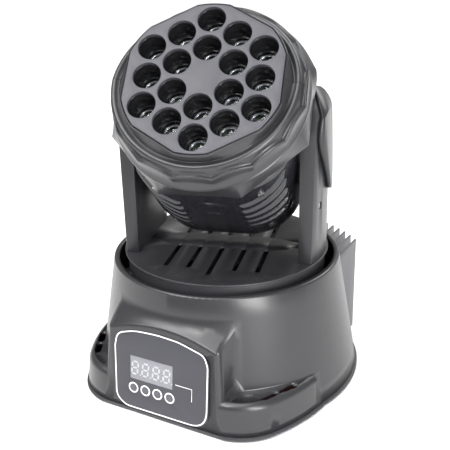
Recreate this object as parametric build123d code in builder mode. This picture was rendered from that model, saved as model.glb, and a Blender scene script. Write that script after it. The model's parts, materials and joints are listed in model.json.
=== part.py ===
"""Compact moving head wash light: fixed base, panning yoke and tilting head.

Millimetres, +Z up. The origin is on the resting surface, on the pan axis. The control
panel faces -Y. The yoke is stored turned towards +X and the head tilted forward.
"""
from build123d import *
import math
import os

# ---- driving dimensions -------------------------------------------------------------
WALL = 3.0                 # moulded housing wall
SKIN = 2.5                 # thinner mouldings
SHEET = 2.0                # bent sheet and cover plates
RUN_FIT = 0.05             # radial clearance of a shaft in its bearing
GAP = 0.3                  # air between parts that move past each other

# Base: a conical drum with a control box in front
FOOT_H = 1.5
PLATE_TOP = 4.0
DRUM_R_LOW = 118.6
DRUM_R_TOP = 100.1
DRUM_TOP = 109.0
RIM_IN_R = 95.5
LEAN = 6.0                 # the front face leans back by this many degrees
FRONT_Y = 119.5
SHELF_Z = 32.0
SHELF_RECESS = 2.0
SHELF_RIM = 8.0            # width left standing round the shelf's recess
PLATE_LIP = 1.2            # the floor's flared edge stands out this far under the shell
DRUM_EDGE_R = 2.0
BLOCK_EDGE_R = 7.0
BOX_EDGE_R = 4.0
BOX_HALF_LOW = 57.0
BOX_HALF_TOP = 51.5
BOX_SIDE_Z = 72.0
BOX_ARCH_Z = 82.0

# Yoke
PAN_REST = 15.6            # degrees from the base's front, towards +X
DISC_R = 90.0
DISC_TOP = 115.0
DISC_T = 1.6
SKIRT_R = 87.5
ARM_IN_X = 69.5
ARM_R = 88.6
ARM_HALF_LOW = 38.0
ARM_HALF_TOP = 35.0
ARM_TOP_Z = 222.0          # centre of the arm's round top
TILT_Z = 216.7

# Head
TILT_REST = 48.6           # degrees forward of straight up
FACE_Z = 86.6              # lens face, measured from the tilt axis
PLATE_R = 63.0
PLATE_FLAT = 60.0
LENS_PITCH = 25.0
LENS_R = 11.0
RING_Z = 62.0              # joint between the front ring and the band behind it
BAND_Z = 44.0
BAND_R = 85.0
REAR_HALF_X = 67.0
REAR_HALF_Y = 72.3
REAR_CORNER = 48.0
REAR_Z = -78.0
REAR_END_R = 28.0

# Drives
PAN_PULLEY_R = 40.0
PAN_MOTOR_PULLEY_R = 12.0
PAN_MOTOR_XY = (56.0, 28.0)
TILT_PULLEY_R = 20.0
TILT_MOTOR_PULLEY_R = 6.0
TILT_MOTOR_Z = 184.0
BELT_T = 1.5
MOTOR_SHAFT_R = 2.5

BRIDGE_Z = 82.0
BRIDGE_T = 3.0

# Standard parts and repeated small sizes
PCB_T = 1.6
PAN_MOTOR_SIDE, PAN_MOTOR_LEN, MOTOR_BOSS_R = 42.3, 34.0, 11.0
TILT_MOTOR_SIDE = 35.0
SLOT_DRIVE_W = 0.8         # width of the cross cut in a screw head


# ---- frames -------------------------------------------------------------------------
def in_frame(frame, plane):
    """A plane that is given in a frame's own coordinates, in the model's coordinates."""
    return Plane(frame.location * plane.location)


pan = math.radians(PAN_REST)
tilt = math.radians(TILT_REST)
YOKE = Plane(origin=(0, 0, 0), x_dir=(math.cos(pan), math.sin(pan), 0), z_dir=(0, 0, 1))
HEAD = in_frame(
    YOKE,
    Plane(origin=(0, 0, TILT_Z), x_dir=(1, 0, 0), z_dir=(0, -math.sin(tilt), math.cos(tilt))),
)
HEAD_AXIS = Axis(HEAD.origin, HEAD.z_dir)
HEAD_SECTION = in_frame(HEAD, Plane.XZ)
lean = math.radians(LEAN)
PANEL = Plane(origin=(0, -FRONT_Y, 0), x_dir=(1, 0, 0),
              z_dir=(0, -math.cos(lean), math.sin(lean)))


def side_plane(side, x):
    """The yoke's plane at the distance x to one side: local x along depth, local y up."""
    return in_frame(YOKE, Plane(origin=(side * x, 0, 0), x_dir=(0, side, 0), z_dir=(side, 0, 0)))


def drum_r(z):
    """Outer radius of the drum at the height z."""
    return DRUM_R_LOW - (DRUM_R_LOW - DRUM_R_TOP) * z / DRUM_TOP


def save(builder, name):
    """Label a finished piece and write it."""
    builder.part.label = name
    export_step(builder.part, f"parts/{name}.step")


os.makedirs("parts", exist_ok=True)


# ---- base housing -------------------------------------------------------------------
def block_outline(inset=0.0):
    """Footprint of the front block: straight front, round corners, sides to the drum."""
    corner_x, flank_x, flank_y = 50.0, 92.0, -95.5
    end_x, end_y = 111.5, -42.8
    with BuildSketch(Plane.XY, mode=Mode.PRIVATE) as outline:
        with BuildLine():
            Line((0, -FRONT_Y), (corner_x, -FRONT_Y))
            corner = TangentArc((corner_x, -FRONT_Y), (flank_x, flank_y), tangent=(1, 0))
            flank = TangentArc(corner @ 1, (end_x, end_y), tangent=corner % 1)
            Line(flank @ 1, (0, end_y))
            mirror(about=Plane.YZ)
        make_face()
        if inset:
            offset(amount=-inset, kind=Kind.INTERSECTION)
    return outline.sketch


def front_block(inset, top):
    """The low block on both sides of the control box."""
    with BuildPart() as block:
        with BuildSketch(Plane.XY):
            add(block_outline(inset))
        extrude(amount=top, taper=LEAN)
        if not inset:
            rim = block.faces().sort_by(Axis.Z)[-1].edges().filter_by(GeomType.CIRCLE)
            fillet(rim, radius=BLOCK_EDGE_R)
    return block.part


def control_box(inset):
    """The raised box that carries the control panel, arched on top, running into the drum."""
    back_y = 88.0
    wider_low, wider_top, higher_side, higher_arch = 4.5, 4.0, 13.0, 15.0
    front = PANEL.offset(-inset)
    with BuildPart() as box:
        with BuildSketch(front):
            with BuildLine():
                low, top = BOX_HALF_LOW - inset, BOX_HALF_TOP - inset
                side, arch = BOX_SIDE_Z - inset, BOX_ARCH_Z - inset
                Polyline((-top, side), (-low, 0), (low, 0), (top, side))
                ThreePointArc((top, side), (0, arch), (-top, side))
            make_face()
        with BuildSketch(Plane.XZ.offset(back_y)):
            with BuildLine():
                low, top = BOX_HALF_LOW + wider_low - inset, BOX_HALF_TOP + wider_top - inset
                side, arch = BOX_SIDE_Z + higher_side - inset, BOX_ARCH_Z + higher_arch - inset
                Polyline((-top, side), (-low, 0), (low, 0), (top, side))
                ThreePointArc((top, side), (0, arch), (-top, side))
            make_face()
        loft()
        if not inset:
            front_face = box.faces().sort_by(Axis.Y)[0]
            fillet([e for e in front_face.edges() if e.center().Z > PLATE_TOP], radius=BOX_EDGE_R)
    return box.part


def drum(inset, low, high):
    """The drum's cone between two heights."""
    with BuildPart() as cone:
        with BuildSketch(Plane.XY.offset(low)):
            Circle(drum_r(low) - inset)
        with BuildSketch(Plane.XY.offset(high)):
            Circle(drum_r(high) - inset)
        loft()
    return cone.part


REAR_HALF_W = 45.0
REAR_LOW, REAR_HIGH = 8.0, 72.0
REAR_PLATE_Y = 97.5
REAR_LIP = 3.0


def rear_frame():
    """The solid surround of the connector plate, trimmed to the drum's outside."""
    depth = 40.0
    with BuildPart() as surround:
        with BuildSketch(Plane.XZ.offset(-(REAR_PLATE_Y - 2 * SKIN))):
            with Locations((0, (REAR_LOW + REAR_HIGH) / 2)):
                Rectangle(2 * (REAR_HALF_W + WALL), REAR_HIGH - REAR_LOW + 2 * WALL)
        extrude(amount=-depth)
        add(drum(0.5, 0, DRUM_TOP), mode=Mode.INTERSECT)
    return surround.part


VENT_CENTRE = (88.6, -79.6)
VENT_ANGLE = 62.7
VENT_STEP = 18.5
VENT_W = 6.0
BUTTON_X = (-26.1, -14.4, -2.7, 9.0)
BUTTON_V = 23.9
BUTTON_R = 3.0
WINDOW = (-8.8, 42.2, 41.0, 21.0)           # centre x, height, width, height of the display
BOARD_XY = (-8.8, 36.0)                     # circuit board behind the display and buttons
BOARD_SIZE = (54.0, 40.0)

with BuildPart() as base_shell:
    add(drum(0, 0, DRUM_TOP))
    top_edge = base_shell.faces().sort_by(Axis.Z)[-1].edges()
    fillet(top_edge, radius=DRUM_EDGE_R)
    add(front_block(0, SHELF_Z))
    add(control_box(0))
    # Shallow recess on the shelves, outside the drum and the box
    with BuildSketch(Plane.XY.offset(SHELF_Z - SHELF_RECESS)):
        add(block_outline(SHELF_RIM))
        Circle(drum_r(SHELF_Z) + 0.5, mode=Mode.SUBTRACT)
        with Locations((0, -100)):
            Rectangle(2 * BOX_HALF_LOW + SHELF_RIM, 60, mode=Mode.SUBTRACT)
    extrude(amount=SHELF_RECESS + 1, mode=Mode.SUBTRACT)
    # Hollow inside
    add(drum(WALL, -1, DRUM_TOP - 4), mode=Mode.SUBTRACT)
    add(front_block(WALL, SHELF_Z - SHELF_RECESS - WALL), mode=Mode.SUBTRACT)
    add(control_box(WALL), mode=Mode.SUBTRACT)
    with BuildSketch(Plane.XY.offset(DRUM_TOP - 5)):
        Circle(RIM_IN_R)
    extrude(amount=6, mode=Mode.SUBTRACT)
    # Vent slots in the shelves, two a side
    with BuildSketch(Plane.XY.offset(SHELF_Z - 12)):
        for side in (-1, 1):
            for step in (-0.5, 0.5):
                along = step * VENT_STEP
                turn = math.radians(VENT_ANGLE)
                x = side * (VENT_CENTRE[0] + along * math.cos(turn))
                y = VENT_CENTRE[1] + along * math.sin(turn)
                with Locations(Location((x, y, 0), side * VENT_ANGLE)):
                    SlotOverall(VENT_STEP - 2, VENT_W)
    extrude(amount=14, mode=Mode.SUBTRACT)
    # Window behind the control panel
    with BuildSketch(PANEL.offset(1)):
        with Locations(BOARD_XY):
            RectangleRounded(BOARD_SIZE[0] + 2, BOARD_SIZE[1] + 2, 3)
    extrude(amount=-8, mode=Mode.SUBTRACT)
    # Rear connector bay
    add(rear_frame())
    with BuildSketch(Plane.XZ.offset(-(REAR_PLATE_Y - SKIN))):
        with Locations((0, (REAR_LOW + REAR_HIGH) / 2)):
            Rectangle(2 * REAR_HALF_W, REAR_HIGH - REAR_LOW)
    extrude(amount=-40, mode=Mode.SUBTRACT)
    with BuildSketch(Plane.XZ.offset(-(REAR_PLATE_Y - 3 * SKIN))):
        with Locations((0, (REAR_LOW + REAR_HIGH) / 2)):
            Rectangle(2 * (REAR_HALF_W - REAR_LIP), REAR_HIGH - REAR_LOW - 2 * REAR_LIP)
    extrude(amount=-40, mode=Mode.SUBTRACT)
    # The foot of the shell stops on the base plate
    with BuildSketch(Plane.XY.offset(-1)):
        Rectangle(300, 300)
    extrude(amount=PLATE_TOP + 1, mode=Mode.SUBTRACT)
save(base_shell, "base_shell")

# ---- base floor and fixings ---------------------------------------------------------
FOOT_XY = 78.0
FOOT_R = 9.0
BRACKET_DX, BRACKET_DY = 60.0, 100.0      # threaded holes for a hanging bracket
BRACKET_R = 3.0
COLLAR_H = 6.0
FLOOR_VENT_Y = 70.0
TRIM = 10.0                               # more than the lip stands out at the front

with BuildPart() as base_plate:
    # Two steps make the flared lip that stands out all round under the shell
    for low, thickness, flare in ((FOOT_H, 1.7, PLATE_LIP), (FOOT_H + 1.7, 0.8, 0.5)):
        with BuildSketch(Plane.XY.offset(low)):
            Circle(DRUM_R_LOW)
            add(block_outline())
            offset(amount=flare, kind=Kind.ARC)
        extrude(amount=thickness)
    # The front of the lip is trimmed level with the rest of it
    with BuildSketch(Plane.XY.offset(FOOT_H)):
        with Locations((0, -DRUM_R_LOW - PLATE_LIP - TRIM / 2)):
            Rectangle(2 * DRUM_R_LOW, TRIM)
        with GridLocations(BRACKET_DX, BRACKET_DY, 2, 2):
            Circle(BRACKET_R)
        with Locations((0, FLOOR_VENT_Y)):
            with GridLocations(7, 1, 9, 1):
                SlotOverall(26, 3, rotation=90)
    extrude(amount=WALL, mode=Mode.SUBTRACT)
    # Collars that carry the bracket threads
    with BuildSketch(Plane.XY.offset(PLATE_TOP)):
        with GridLocations(BRACKET_DX, BRACKET_DY, 2, 2):
            Circle(BRACKET_R + 3)
            Circle(BRACKET_R, mode=Mode.SUBTRACT)
    extrude(amount=COLLAR_H)
save(base_plate, "base_plate")

with BuildPart() as rubber_feet:
    with BuildSketch(Plane.XY):
        with GridLocations(2 * FOOT_XY, 2 * FOOT_XY, 2, 2):
            Circle(FOOT_R)
    extrude(amount=FOOT_H)
save(rubber_feet, "rubber_feet")

# ---- control panel ------------------------------------------------------------------
PANEL_HALF_W = 45.0
PANEL_LOW, PANEL_SIDE, PANEL_ARCH = 6.0, 66.0, 76.0
PANEL_T = 0.6
BOARD_DEPTH = 13.0


def panel_outline(grow=0.0):
    """Outline of the printed panel: rounded foot, arched top."""
    with BuildSketch(Plane.XY, mode=Mode.PRIVATE) as outline:
        with BuildLine():
            half = PANEL_HALF_W + grow
            side, arch, low = PANEL_SIDE + grow, PANEL_ARCH + grow, PANEL_LOW - grow
            Polyline((-half, side), (-half, low), (half, low), (half, side))
            ThreePointArc((half, side), (0, arch), (-half, side))
        make_face()
        fillet(outline.vertices().group_by(Axis.Y)[0], radius=12)
        fillet(outline.vertices().group_by(Axis.Y)[-1], radius=12)
    return outline.sketch


with BuildPart() as control_panel:
    with BuildSketch(PANEL):
        add(panel_outline())
        with Locations(WINDOW[:2]):
            Rectangle(WINDOW[2], WINDOW[3], mode=Mode.SUBTRACT)
        with Locations([(x, BUTTON_V) for x in BUTTON_X]):
            Circle(BUTTON_R + GAP, mode=Mode.SUBTRACT)
    extrude(amount=PANEL_T)
save(control_panel, "control_panel")

WINDOW_FLANGE, WINDOW_FLANGE_T = 2.0, 1.5

with BuildPart() as display_window:
    with BuildSketch(PANEL.offset(-WINDOW_FLANGE_T)):
        with Locations(WINDOW[:2]):
            Rectangle(WINDOW[2] + 2 * WINDOW_FLANGE, WINDOW[3] + 2 * WINDOW_FLANGE)
    extrude(amount=WINDOW_FLANGE_T)
    with BuildSketch(PANEL):
        with Locations(WINDOW[:2]):
            Rectangle(WINDOW[2], WINDOW[3])
    extrude(amount=PANEL_T - 0.2)
save(display_window, "display_window")

with BuildPart() as display_module:
    with BuildSketch(PANEL.offset(-BOARD_DEPTH)):
        with Locations(WINDOW[:2]):
            Rectangle(WINDOW[2] - 1, WINDOW[3] - 1)
    extrude(amount=BOARD_DEPTH - 2)
save(display_module, "display_module")

SWITCH_SIDE, SWITCH_T = 6.0, 8.0
BUTTON_TRAVEL = 0.8
BUTTON_FLANGE, BUTTON_FLANGE_T = 1.2, 2.0
BUTTON_PROUD = 1.6                        # the cap stands this far out of the shell
BUTTON_BACK = BOARD_DEPTH - SWITCH_T - BUTTON_TRAVEL - 0.1

with BuildPart() as control_board:
    with BuildSketch(PANEL.offset(-BOARD_DEPTH - PCB_T)):
        with Locations(BOARD_XY):
            Rectangle(*BOARD_SIZE)
    extrude(amount=PCB_T)
    # Push switches soldered behind the buttons
    with BuildSketch(PANEL.offset(-BOARD_DEPTH)):
        with Locations([(x, BUTTON_V) for x in BUTTON_X]):
            Rectangle(SWITCH_SIDE, SWITCH_SIDE)
    extrude(amount=SWITCH_T)
save(control_board, "control_board")

for place, name in zip(BUTTON_X, ("menu", "up", "down", "enter")):
    with BuildPart() as button:
        with BuildSketch(PANEL.offset(-BUTTON_BACK)):
            with Locations((place, BUTTON_V)):
                Circle(BUTTON_R + BUTTON_FLANGE)
        extrude(amount=BUTTON_FLANGE_T)
        with BuildSketch(PANEL.offset(-BUTTON_BACK + BUTTON_FLANGE_T)):
            with Locations((place, BUTTON_V)):
                Circle(BUTTON_R)
        extrude(amount=BUTTON_BACK - BUTTON_FLANGE_T + BUTTON_PROUD)
        fillet(button.edges().filter_by(GeomType.CIRCLE).sort_by(Axis.Y)[0], radius=0.5)
    save(button, f"{name}_button")

# ---- base electrics -----------------------------------------------------------------
SUPPLY_XY, SUPPLY_SIZE, SUPPLY_H = (-60.0, 8.0), (46.0, 84.0), 32.0
MAIN_XY, MAIN_SIZE = (0.0, -38.0), (70.0, 78.0)
STANDOFF_H, STANDOFF_R = 8.0, 3.0
CONNECTOR_H = 7.0

with BuildPart() as power_supply:
    with BuildSketch(Plane.XY.offset(PLATE_TOP)):
        with Locations(SUPPLY_XY):
            RectangleRounded(*SUPPLY_SIZE, 2)
    extrude(amount=SUPPLY_H)
    with BuildSketch(Plane.XY.offset(PLATE_TOP + SUPPLY_H)):
        with Locations(SUPPLY_XY):
            with GridLocations(7, 1, 5, 1):
                SlotOverall(60, 3, rotation=90)
    extrude(amount=-1, mode=Mode.SUBTRACT)
save(power_supply, "power_supply")

with BuildPart() as main_board:
    with BuildSketch(Plane.XY.offset(PLATE_TOP + STANDOFF_H)):
        with Locations(MAIN_XY):
            Rectangle(*MAIN_SIZE)
    extrude(amount=PCB_T)
    # Stand-offs
    with BuildSketch(Plane.XY.offset(PLATE_TOP)):
        with Locations(MAIN_XY):
            with GridLocations(MAIN_SIZE[0] - 8, MAIN_SIZE[1] - 8, 2, 2):
                Circle(STANDOFF_R)
    extrude(amount=STANDOFF_H)
    # Connectors and heat sink on the board
    with BuildSketch(Plane.XY.offset(PLATE_TOP + STANDOFF_H + PCB_T)):
        with Locations((-22, -10), (0, -10), (22, -10)):
            Rectangle(16, 6)
        with Locations((0, -45)):
            Rectangle(24, 12)
    extrude(amount=CONNECTOR_H)
save(main_board, "main_board")

# ---- rear connector plate -----------------------------------------------------------
INLET_XZ = (-22.0, 24.0)
FUSE_XZ = (8.0, 24.0)
DATA_X = (-20.0, 20.0)
DATA_Z = 53.0
DATA_R = 11.8
DATA_FLANGE = (26.0, 31.0)
DATA_FLANGE_T = 1.6
DATA_LENGTH = 20.0
DATA_CAVITY = 14.0                        # depth of the well round the input's pins
DATA_SCREWS = ((-10.0, -12.5), (10.0, 12.5))
DATA_SCREW_R = 1.5
PIN_CIRCLE_R, PIN_R = 3.8, 1.25
INLET_BODY, INLET_DEPTH = (27.2, 20.0), 16.0
INLET_FLANGE, INLET_FLANGE_T = (31.0, 24.0), 1.8
INLET_MOUTH, INLET_WELL = (24.0, 16.6), 15.0
INLET_PIN = (2.0, 4.0, 8.0)
FUSE_R, FUSE_FLANGE_R, FUSE_CAP_R, FUSE_DEPTH = 6.4, 8.5, 6.0, 26.0


def rear_plane(y):
    """A plane that faces +Y at the depth y: local x is -X, local y is up."""
    return Plane(origin=(0, y, 0), x_dir=(-1, 0, 0), z_dir=(0, 1, 0))


with BuildPart() as rear_panel:
    with BuildSketch(rear_plane(REAR_PLATE_Y - SKIN)):
        with Locations((0, (REAR_LOW + REAR_HIGH) / 2)):
            Rectangle(2 * REAR_HALF_W - 0.4, REAR_HIGH - REAR_LOW - 0.4)
        with Locations((-INLET_XZ[0], INLET_XZ[1])):
            Rectangle(INLET_BODY[0] + 0.4, INLET_BODY[1] + 0.4, mode=Mode.SUBTRACT)
        with Locations((-FUSE_XZ[0], FUSE_XZ[1])):
            Circle(FUSE_R + 0.2, mode=Mode.SUBTRACT)
        with Locations([(x, DATA_Z) for x in DATA_X]):
            Circle(DATA_R + 0.1, mode=Mode.SUBTRACT)
    extrude(amount=SHEET)
save(rear_panel, "rear_panel")

PANEL_FACE_Y = REAR_PLATE_Y - SKIN + SHEET

with BuildPart() as power_inlet:
    with BuildSketch(rear_plane(PANEL_FACE_Y)):
        with Locations((-INLET_XZ[0], INLET_XZ[1])):
            RectangleRounded(*INLET_FLANGE, 2)
    extrude(amount=INLET_FLANGE_T)
    with BuildSketch(rear_plane(PANEL_FACE_Y)):
        with Locations((-INLET_XZ[0], INLET_XZ[1])):
            Rectangle(*INLET_BODY)
    extrude(amount=-INLET_DEPTH)
    with BuildSketch(rear_plane(PANEL_FACE_Y + INLET_FLANGE_T)):
        with Locations((-INLET_XZ[0], INLET_XZ[1])):
            Rectangle(*INLET_MOUTH)
    extrude(amount=-INLET_WELL, mode=Mode.SUBTRACT)
    with BuildSketch(rear_plane(PANEL_FACE_Y + INLET_FLANGE_T - INLET_WELL)):
        with Locations((-INLET_XZ[0], INLET_XZ[1])):
            with Locations((-7, -2), (0, 3), (7, -2)):
                Rectangle(*INLET_PIN[:2])
    extrude(amount=INLET_PIN[2])
save(power_inlet, "power_inlet")

with BuildPart() as fuse_holder:
    with BuildSketch(rear_plane(PANEL_FACE_Y)):
        with Locations((-FUSE_XZ[0], FUSE_XZ[1])):
            Circle(FUSE_FLANGE_R)
    extrude(amount=2)
    with BuildSketch(rear_plane(PANEL_FACE_Y + 2)):
        with Locations((-FUSE_XZ[0], FUSE_XZ[1])):
            Circle(FUSE_CAP_R)
            Rectangle(8, 1.4, mode=Mode.SUBTRACT)
    extrude(amount=3.5)
    with BuildSketch(rear_plane(PANEL_FACE_Y)):
        with Locations((-FUSE_XZ[0], FUSE_XZ[1])):
            Circle(FUSE_R)
    extrude(amount=-FUSE_DEPTH)
save(fuse_holder, "fuse_holder")


def data_socket(x, cavity_r, pins):
    """A three-pole round data connector on its flange; pins stand in a hollow, or are holes."""
    with BuildPart() as socket:
        with BuildSketch(rear_plane(PANEL_FACE_Y)):
            with Locations((-x, DATA_Z)):
                RectangleRounded(*DATA_FLANGE, 3)
        extrude(amount=DATA_FLANGE_T)
        with BuildSketch(rear_plane(PANEL_FACE_Y + DATA_FLANGE_T)):
            with Locations((-x, DATA_Z)):
                Circle(DATA_R)
        extrude(amount=-DATA_LENGTH)
        if pins:
            with BuildSketch(rear_plane(PANEL_FACE_Y + DATA_FLANGE_T)):
                with Locations((-x, DATA_Z)):
                    Circle(cavity_r)
            extrude(amount=-DATA_CAVITY, mode=Mode.SUBTRACT)
        with BuildSketch(rear_plane(PANEL_FACE_Y + DATA_FLANGE_T - (DATA_CAVITY if pins else 10))):
            with Locations((-x, DATA_Z)):
                with PolarLocations(PIN_CIRCLE_R, 3, start_angle=90):
                    Circle(PIN_R)
        extrude(amount=9 if pins else 10, mode=Mode.ADD if pins else Mode.SUBTRACT)
        with BuildSketch(rear_plane(PANEL_FACE_Y)):
            with Locations((-x, DATA_Z)):
                with Locations(*DATA_SCREWS):
                    Circle(DATA_SCREW_R + 0.1)
        extrude(amount=DATA_FLANGE_T, mode=Mode.SUBTRACT)
    return socket


save(data_socket(DATA_X[0], 9.2, True), "data_input")
save(data_socket(DATA_X[1], 9.2, False), "data_output")

# ---- rear cooling fins --------------------------------------------------------------
FIN_X = 52.0
FIN_STEP = 7.8
FIN_COUNT = 6
FIN_T = 2.2
FIN_R = 126.0
FIN_LOW, FIN_HIGH = 10.0, 101.0
FIN_BACK_T = 2.0
FIN_Y, FIN_SPAN = 75.0, 110.0             # the fins lie inside this stretch of depth


def fin_block(side):
    """Upright fins on a curved back plate, outside the drum at the rear."""
    with BuildPart() as fins:
        with BuildSketch(Plane.XY.offset(FIN_LOW)):
            Circle(drum_r(FIN_LOW) + FIN_BACK_T)
        with BuildSketch(Plane.XY.offset(FIN_HIGH)):
            Circle(drum_r(FIN_HIGH) + FIN_BACK_T)
        loft()
        width = (FIN_COUNT - 1) * FIN_STEP + FIN_T
        with BuildSketch(Plane.XY.offset(FIN_LOW)):
            with Locations((side * (FIN_X + width / 2 - FIN_T / 2), FIN_Y)):
                Rectangle(width, FIN_SPAN)
        extrude(amount=FIN_HIGH - FIN_LOW, mode=Mode.INTERSECT)
        with BuildSketch(Plane.XY.offset(FIN_LOW)):
            for index in range(FIN_COUNT):
                with Locations((side * (FIN_X + index * FIN_STEP), FIN_Y)):
                    Rectangle(FIN_T, FIN_SPAN)
            Circle(FIN_R, mode=Mode.INTERSECT)
        extrude(amount=FIN_HIGH - FIN_LOW)
        add(drum(0, 0, DRUM_TOP), mode=Mode.SUBTRACT)
    return fins


with BuildPart() as cooling_fins:
    add(fin_block(1).part)
    add(fin_block(-1).part)
save(cooling_fins, "cooling_fins")

# ---- pan drive in the base ----------------------------------------------------------
BEARING_R = 21.0
SHAFT_R = 15.0
BELT_Z = BRIDGE_Z + BRIDGE_T + 5.0
BELT_W = 6.0
BRIDGE_SIZE = (176.0, 86.0)
BRIDGE_LEG_W = 60.0
BEARING_DROP = 4.0

with BuildPart() as pan_bridge:
    with BuildSketch(Plane.XY.offset(BRIDGE_Z)):
        RectangleRounded(*BRIDGE_SIZE, 6)
        Circle(BEARING_R, mode=Mode.SUBTRACT)
        with Locations(PAN_MOTOR_XY):
            Circle(MOTOR_BOSS_R + 0.2, mode=Mode.SUBTRACT)
        with Locations((-60, 0)):
            SlotOverall(40, 14, rotation=90, mode=Mode.SUBTRACT)
    extrude(amount=BRIDGE_T)
    with BuildSketch(Plane.XY.offset(PLATE_TOP)):
        with GridLocations(BRIDGE_SIZE[0] - BRIDGE_T, 1, 2, 1):
            Rectangle(BRIDGE_T, BRIDGE_LEG_W)
    extrude(amount=BRIDGE_Z - PLATE_TOP)
save(pan_bridge, "pan_bridge")

with BuildPart() as pan_bearing:
    with BuildSketch(Plane.XY.offset(BRIDGE_Z - BEARING_DROP)):
        Circle(BEARING_R)
        Circle(SHAFT_R + RUN_FIT, mode=Mode.SUBTRACT)
    extrude(amount=BEARING_DROP + BRIDGE_T)
save(pan_bearing, "pan_bearing")

with BuildPart() as pan_motor:
    with BuildSketch(Plane.XY.offset(BRIDGE_Z - PAN_MOTOR_LEN)):
        with Locations(PAN_MOTOR_XY):
            RectangleRounded(PAN_MOTOR_SIDE, PAN_MOTOR_SIDE, 4)
    extrude(amount=PAN_MOTOR_LEN)
    with BuildSketch(Plane.XY.offset(BRIDGE_Z)):
        with Locations(PAN_MOTOR_XY):
            Circle(MOTOR_BOSS_R)
    extrude(amount=2)
    with BuildSketch(Plane.XY.offset(BRIDGE_Z + 2)):
        with Locations(PAN_MOTOR_XY):
            Circle(MOTOR_SHAFT_R + RUN_FIT)
    extrude(amount=-22, mode=Mode.SUBTRACT)
save(pan_motor, "pan_motor")


def belt_outline(far_xy, big_r, small_r):
    """A taut loop round two pulleys, the big one at the origin."""
    with BuildSketch(Plane.XY, mode=Mode.PRIVATE) as loop:
        Circle(big_r)
        with Locations(far_xy):
            Circle(small_r)
        make_hull()
    return loop.sketch


with BuildPart() as pan_belt:
    with BuildSketch(Plane.XY.offset(BELT_Z)):
        add(belt_outline(PAN_MOTOR_XY, PAN_PULLEY_R + GAP + BELT_T,
                         PAN_MOTOR_PULLEY_R + GAP + BELT_T))
        add(belt_outline(PAN_MOTOR_XY, PAN_PULLEY_R + GAP, PAN_MOTOR_PULLEY_R + GAP),
            mode=Mode.SUBTRACT)
    extrude(amount=BELT_W)
save(pan_belt, "pan_belt")


PULLEY_LIP_T, PULLEY_LIP_H = 0.8, 2.4
BELT_SIDE_GAP = 0.4


def pulley(plane, place, radius, bore, width):
    """A belt pulley with a plain face, two flanges and a bore."""
    with BuildPart() as wheel:
        with BuildSketch(plane):
            with Locations(place):
                Circle(radius)
                Circle(bore, mode=Mode.SUBTRACT)
        extrude(amount=width)
        for height in (-PULLEY_LIP_T, width):
            with BuildSketch(plane.offset(height)):
                with Locations(place):
                    Circle(radius + PULLEY_LIP_H)
                    Circle(bore, mode=Mode.SUBTRACT)
            extrude(amount=PULLEY_LIP_T)
    return wheel


with BuildPart() as pan_motor_pulley:
    add(pulley(Plane.XY.offset(BELT_Z - BELT_SIDE_GAP), PAN_MOTOR_XY, PAN_MOTOR_PULLEY_R,
               MOTOR_SHAFT_R, BELT_W + 2 * BELT_SIDE_GAP).part)
    # The motor's shaft, pressed into the pulley
    with BuildSketch(Plane.XY.offset(BRIDGE_Z - 18)):
        with Locations(PAN_MOTOR_XY):
            Circle(MOTOR_SHAFT_R)
    extrude(amount=36)
save(pan_motor_pulley, "pan_motor_pulley")

FLOOR_SCREW_CIRCLE_R = 105.0
FLOOR_SCREW_ANGLES = (20, 90, 160, 215, 325)

with BuildPart() as base_screws:
    # Under the floor
    spots = [(FLOOR_SCREW_CIRCLE_R * math.cos(math.radians(a)),
              FLOOR_SCREW_CIRCLE_R * math.sin(math.radians(a))) for a in FLOOR_SCREW_ANGLES]
    with BuildSketch(Plane.XY.offset(FOOT_H - 1)):
        with Locations(spots):
            Circle(3.2)
    extrude(amount=1)
    # In the flanges of the data sockets
    with BuildSketch(rear_plane(PANEL_FACE_Y)):
        for x in DATA_X:
            with Locations((-x, DATA_Z)):
                with Locations(*DATA_SCREWS):
                    Circle(DATA_SCREW_R)
    extrude(amount=DATA_FLANGE_T)
    with BuildSketch(rear_plane(PANEL_FACE_Y + DATA_FLANGE_T)):
        for x in DATA_X:
            with Locations((-x, DATA_Z)):
                with Locations(*DATA_SCREWS):
                    Circle(2.6)
                    Rectangle(3.6, SLOT_DRIVE_W, mode=Mode.SUBTRACT)
                    Rectangle(SLOT_DRIVE_W, 3.6, mode=Mode.SUBTRACT)
    extrude(amount=1)
save(base_screws, "base_screws")

# ---- wires in the base --------------------------------------------------------------
WIRE_R = 1.2


def data_wire(side):
    """One lead from the main board, past the shelf vents, to a data socket."""
    socket_back = PANEL_FACE_Y + DATA_FLANGE_T - DATA_LENGTH
    stops = [(35, -50, 12.8), (48, -50, 12.8), (62, -90, 21), (83, -86, 24), (97, -58, 24),
             (102, -5, 22), (88, 52, 26), (52, 66, 36), (20, 58, DATA_Z), (20, socket_back, DATA_Z)]
    stops = [(side * x, y, z) for x, y, z in stops]
    with BuildPart() as wire:
        with BuildLine() as route:
            FilletPolyline(*stops, radius=[5, 7, 9, 12, 16, 14, 14, 9])
        with BuildSketch(Plane(origin=stops[0], z_dir=(side, 0, 0))):
            Circle(WIRE_R)
        sweep(path=route.wire())
    return wire.part


with BuildPart() as data_wires:
    add(data_wire(1))
    add(data_wire(-1))
save(data_wires, "data_wires")

# ---- yoke turntable -----------------------------------------------------------------
SLOT_STEP = 19.5
SLOT_LEN = 46.0
SLOT_W = 4.5
MIDDLE_SLOT_LEN = 57.0
HUB_R = 30.0
SKIRT_LOW = 98.0
WEB_TOP = 109.5
SLOT_ROW_Y = 37.0
CABLE_HOLE_X, CABLE_HOLE_R = 78.0, 5.0        # under the hollow arms
BOSS_CIRCLE_R, BOSS_R = 76.0, 4.0
SHAFT_WALL = 5.0
SHAFT_DROP = 8.0           # the shaft reaches this far below the bridge

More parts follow.
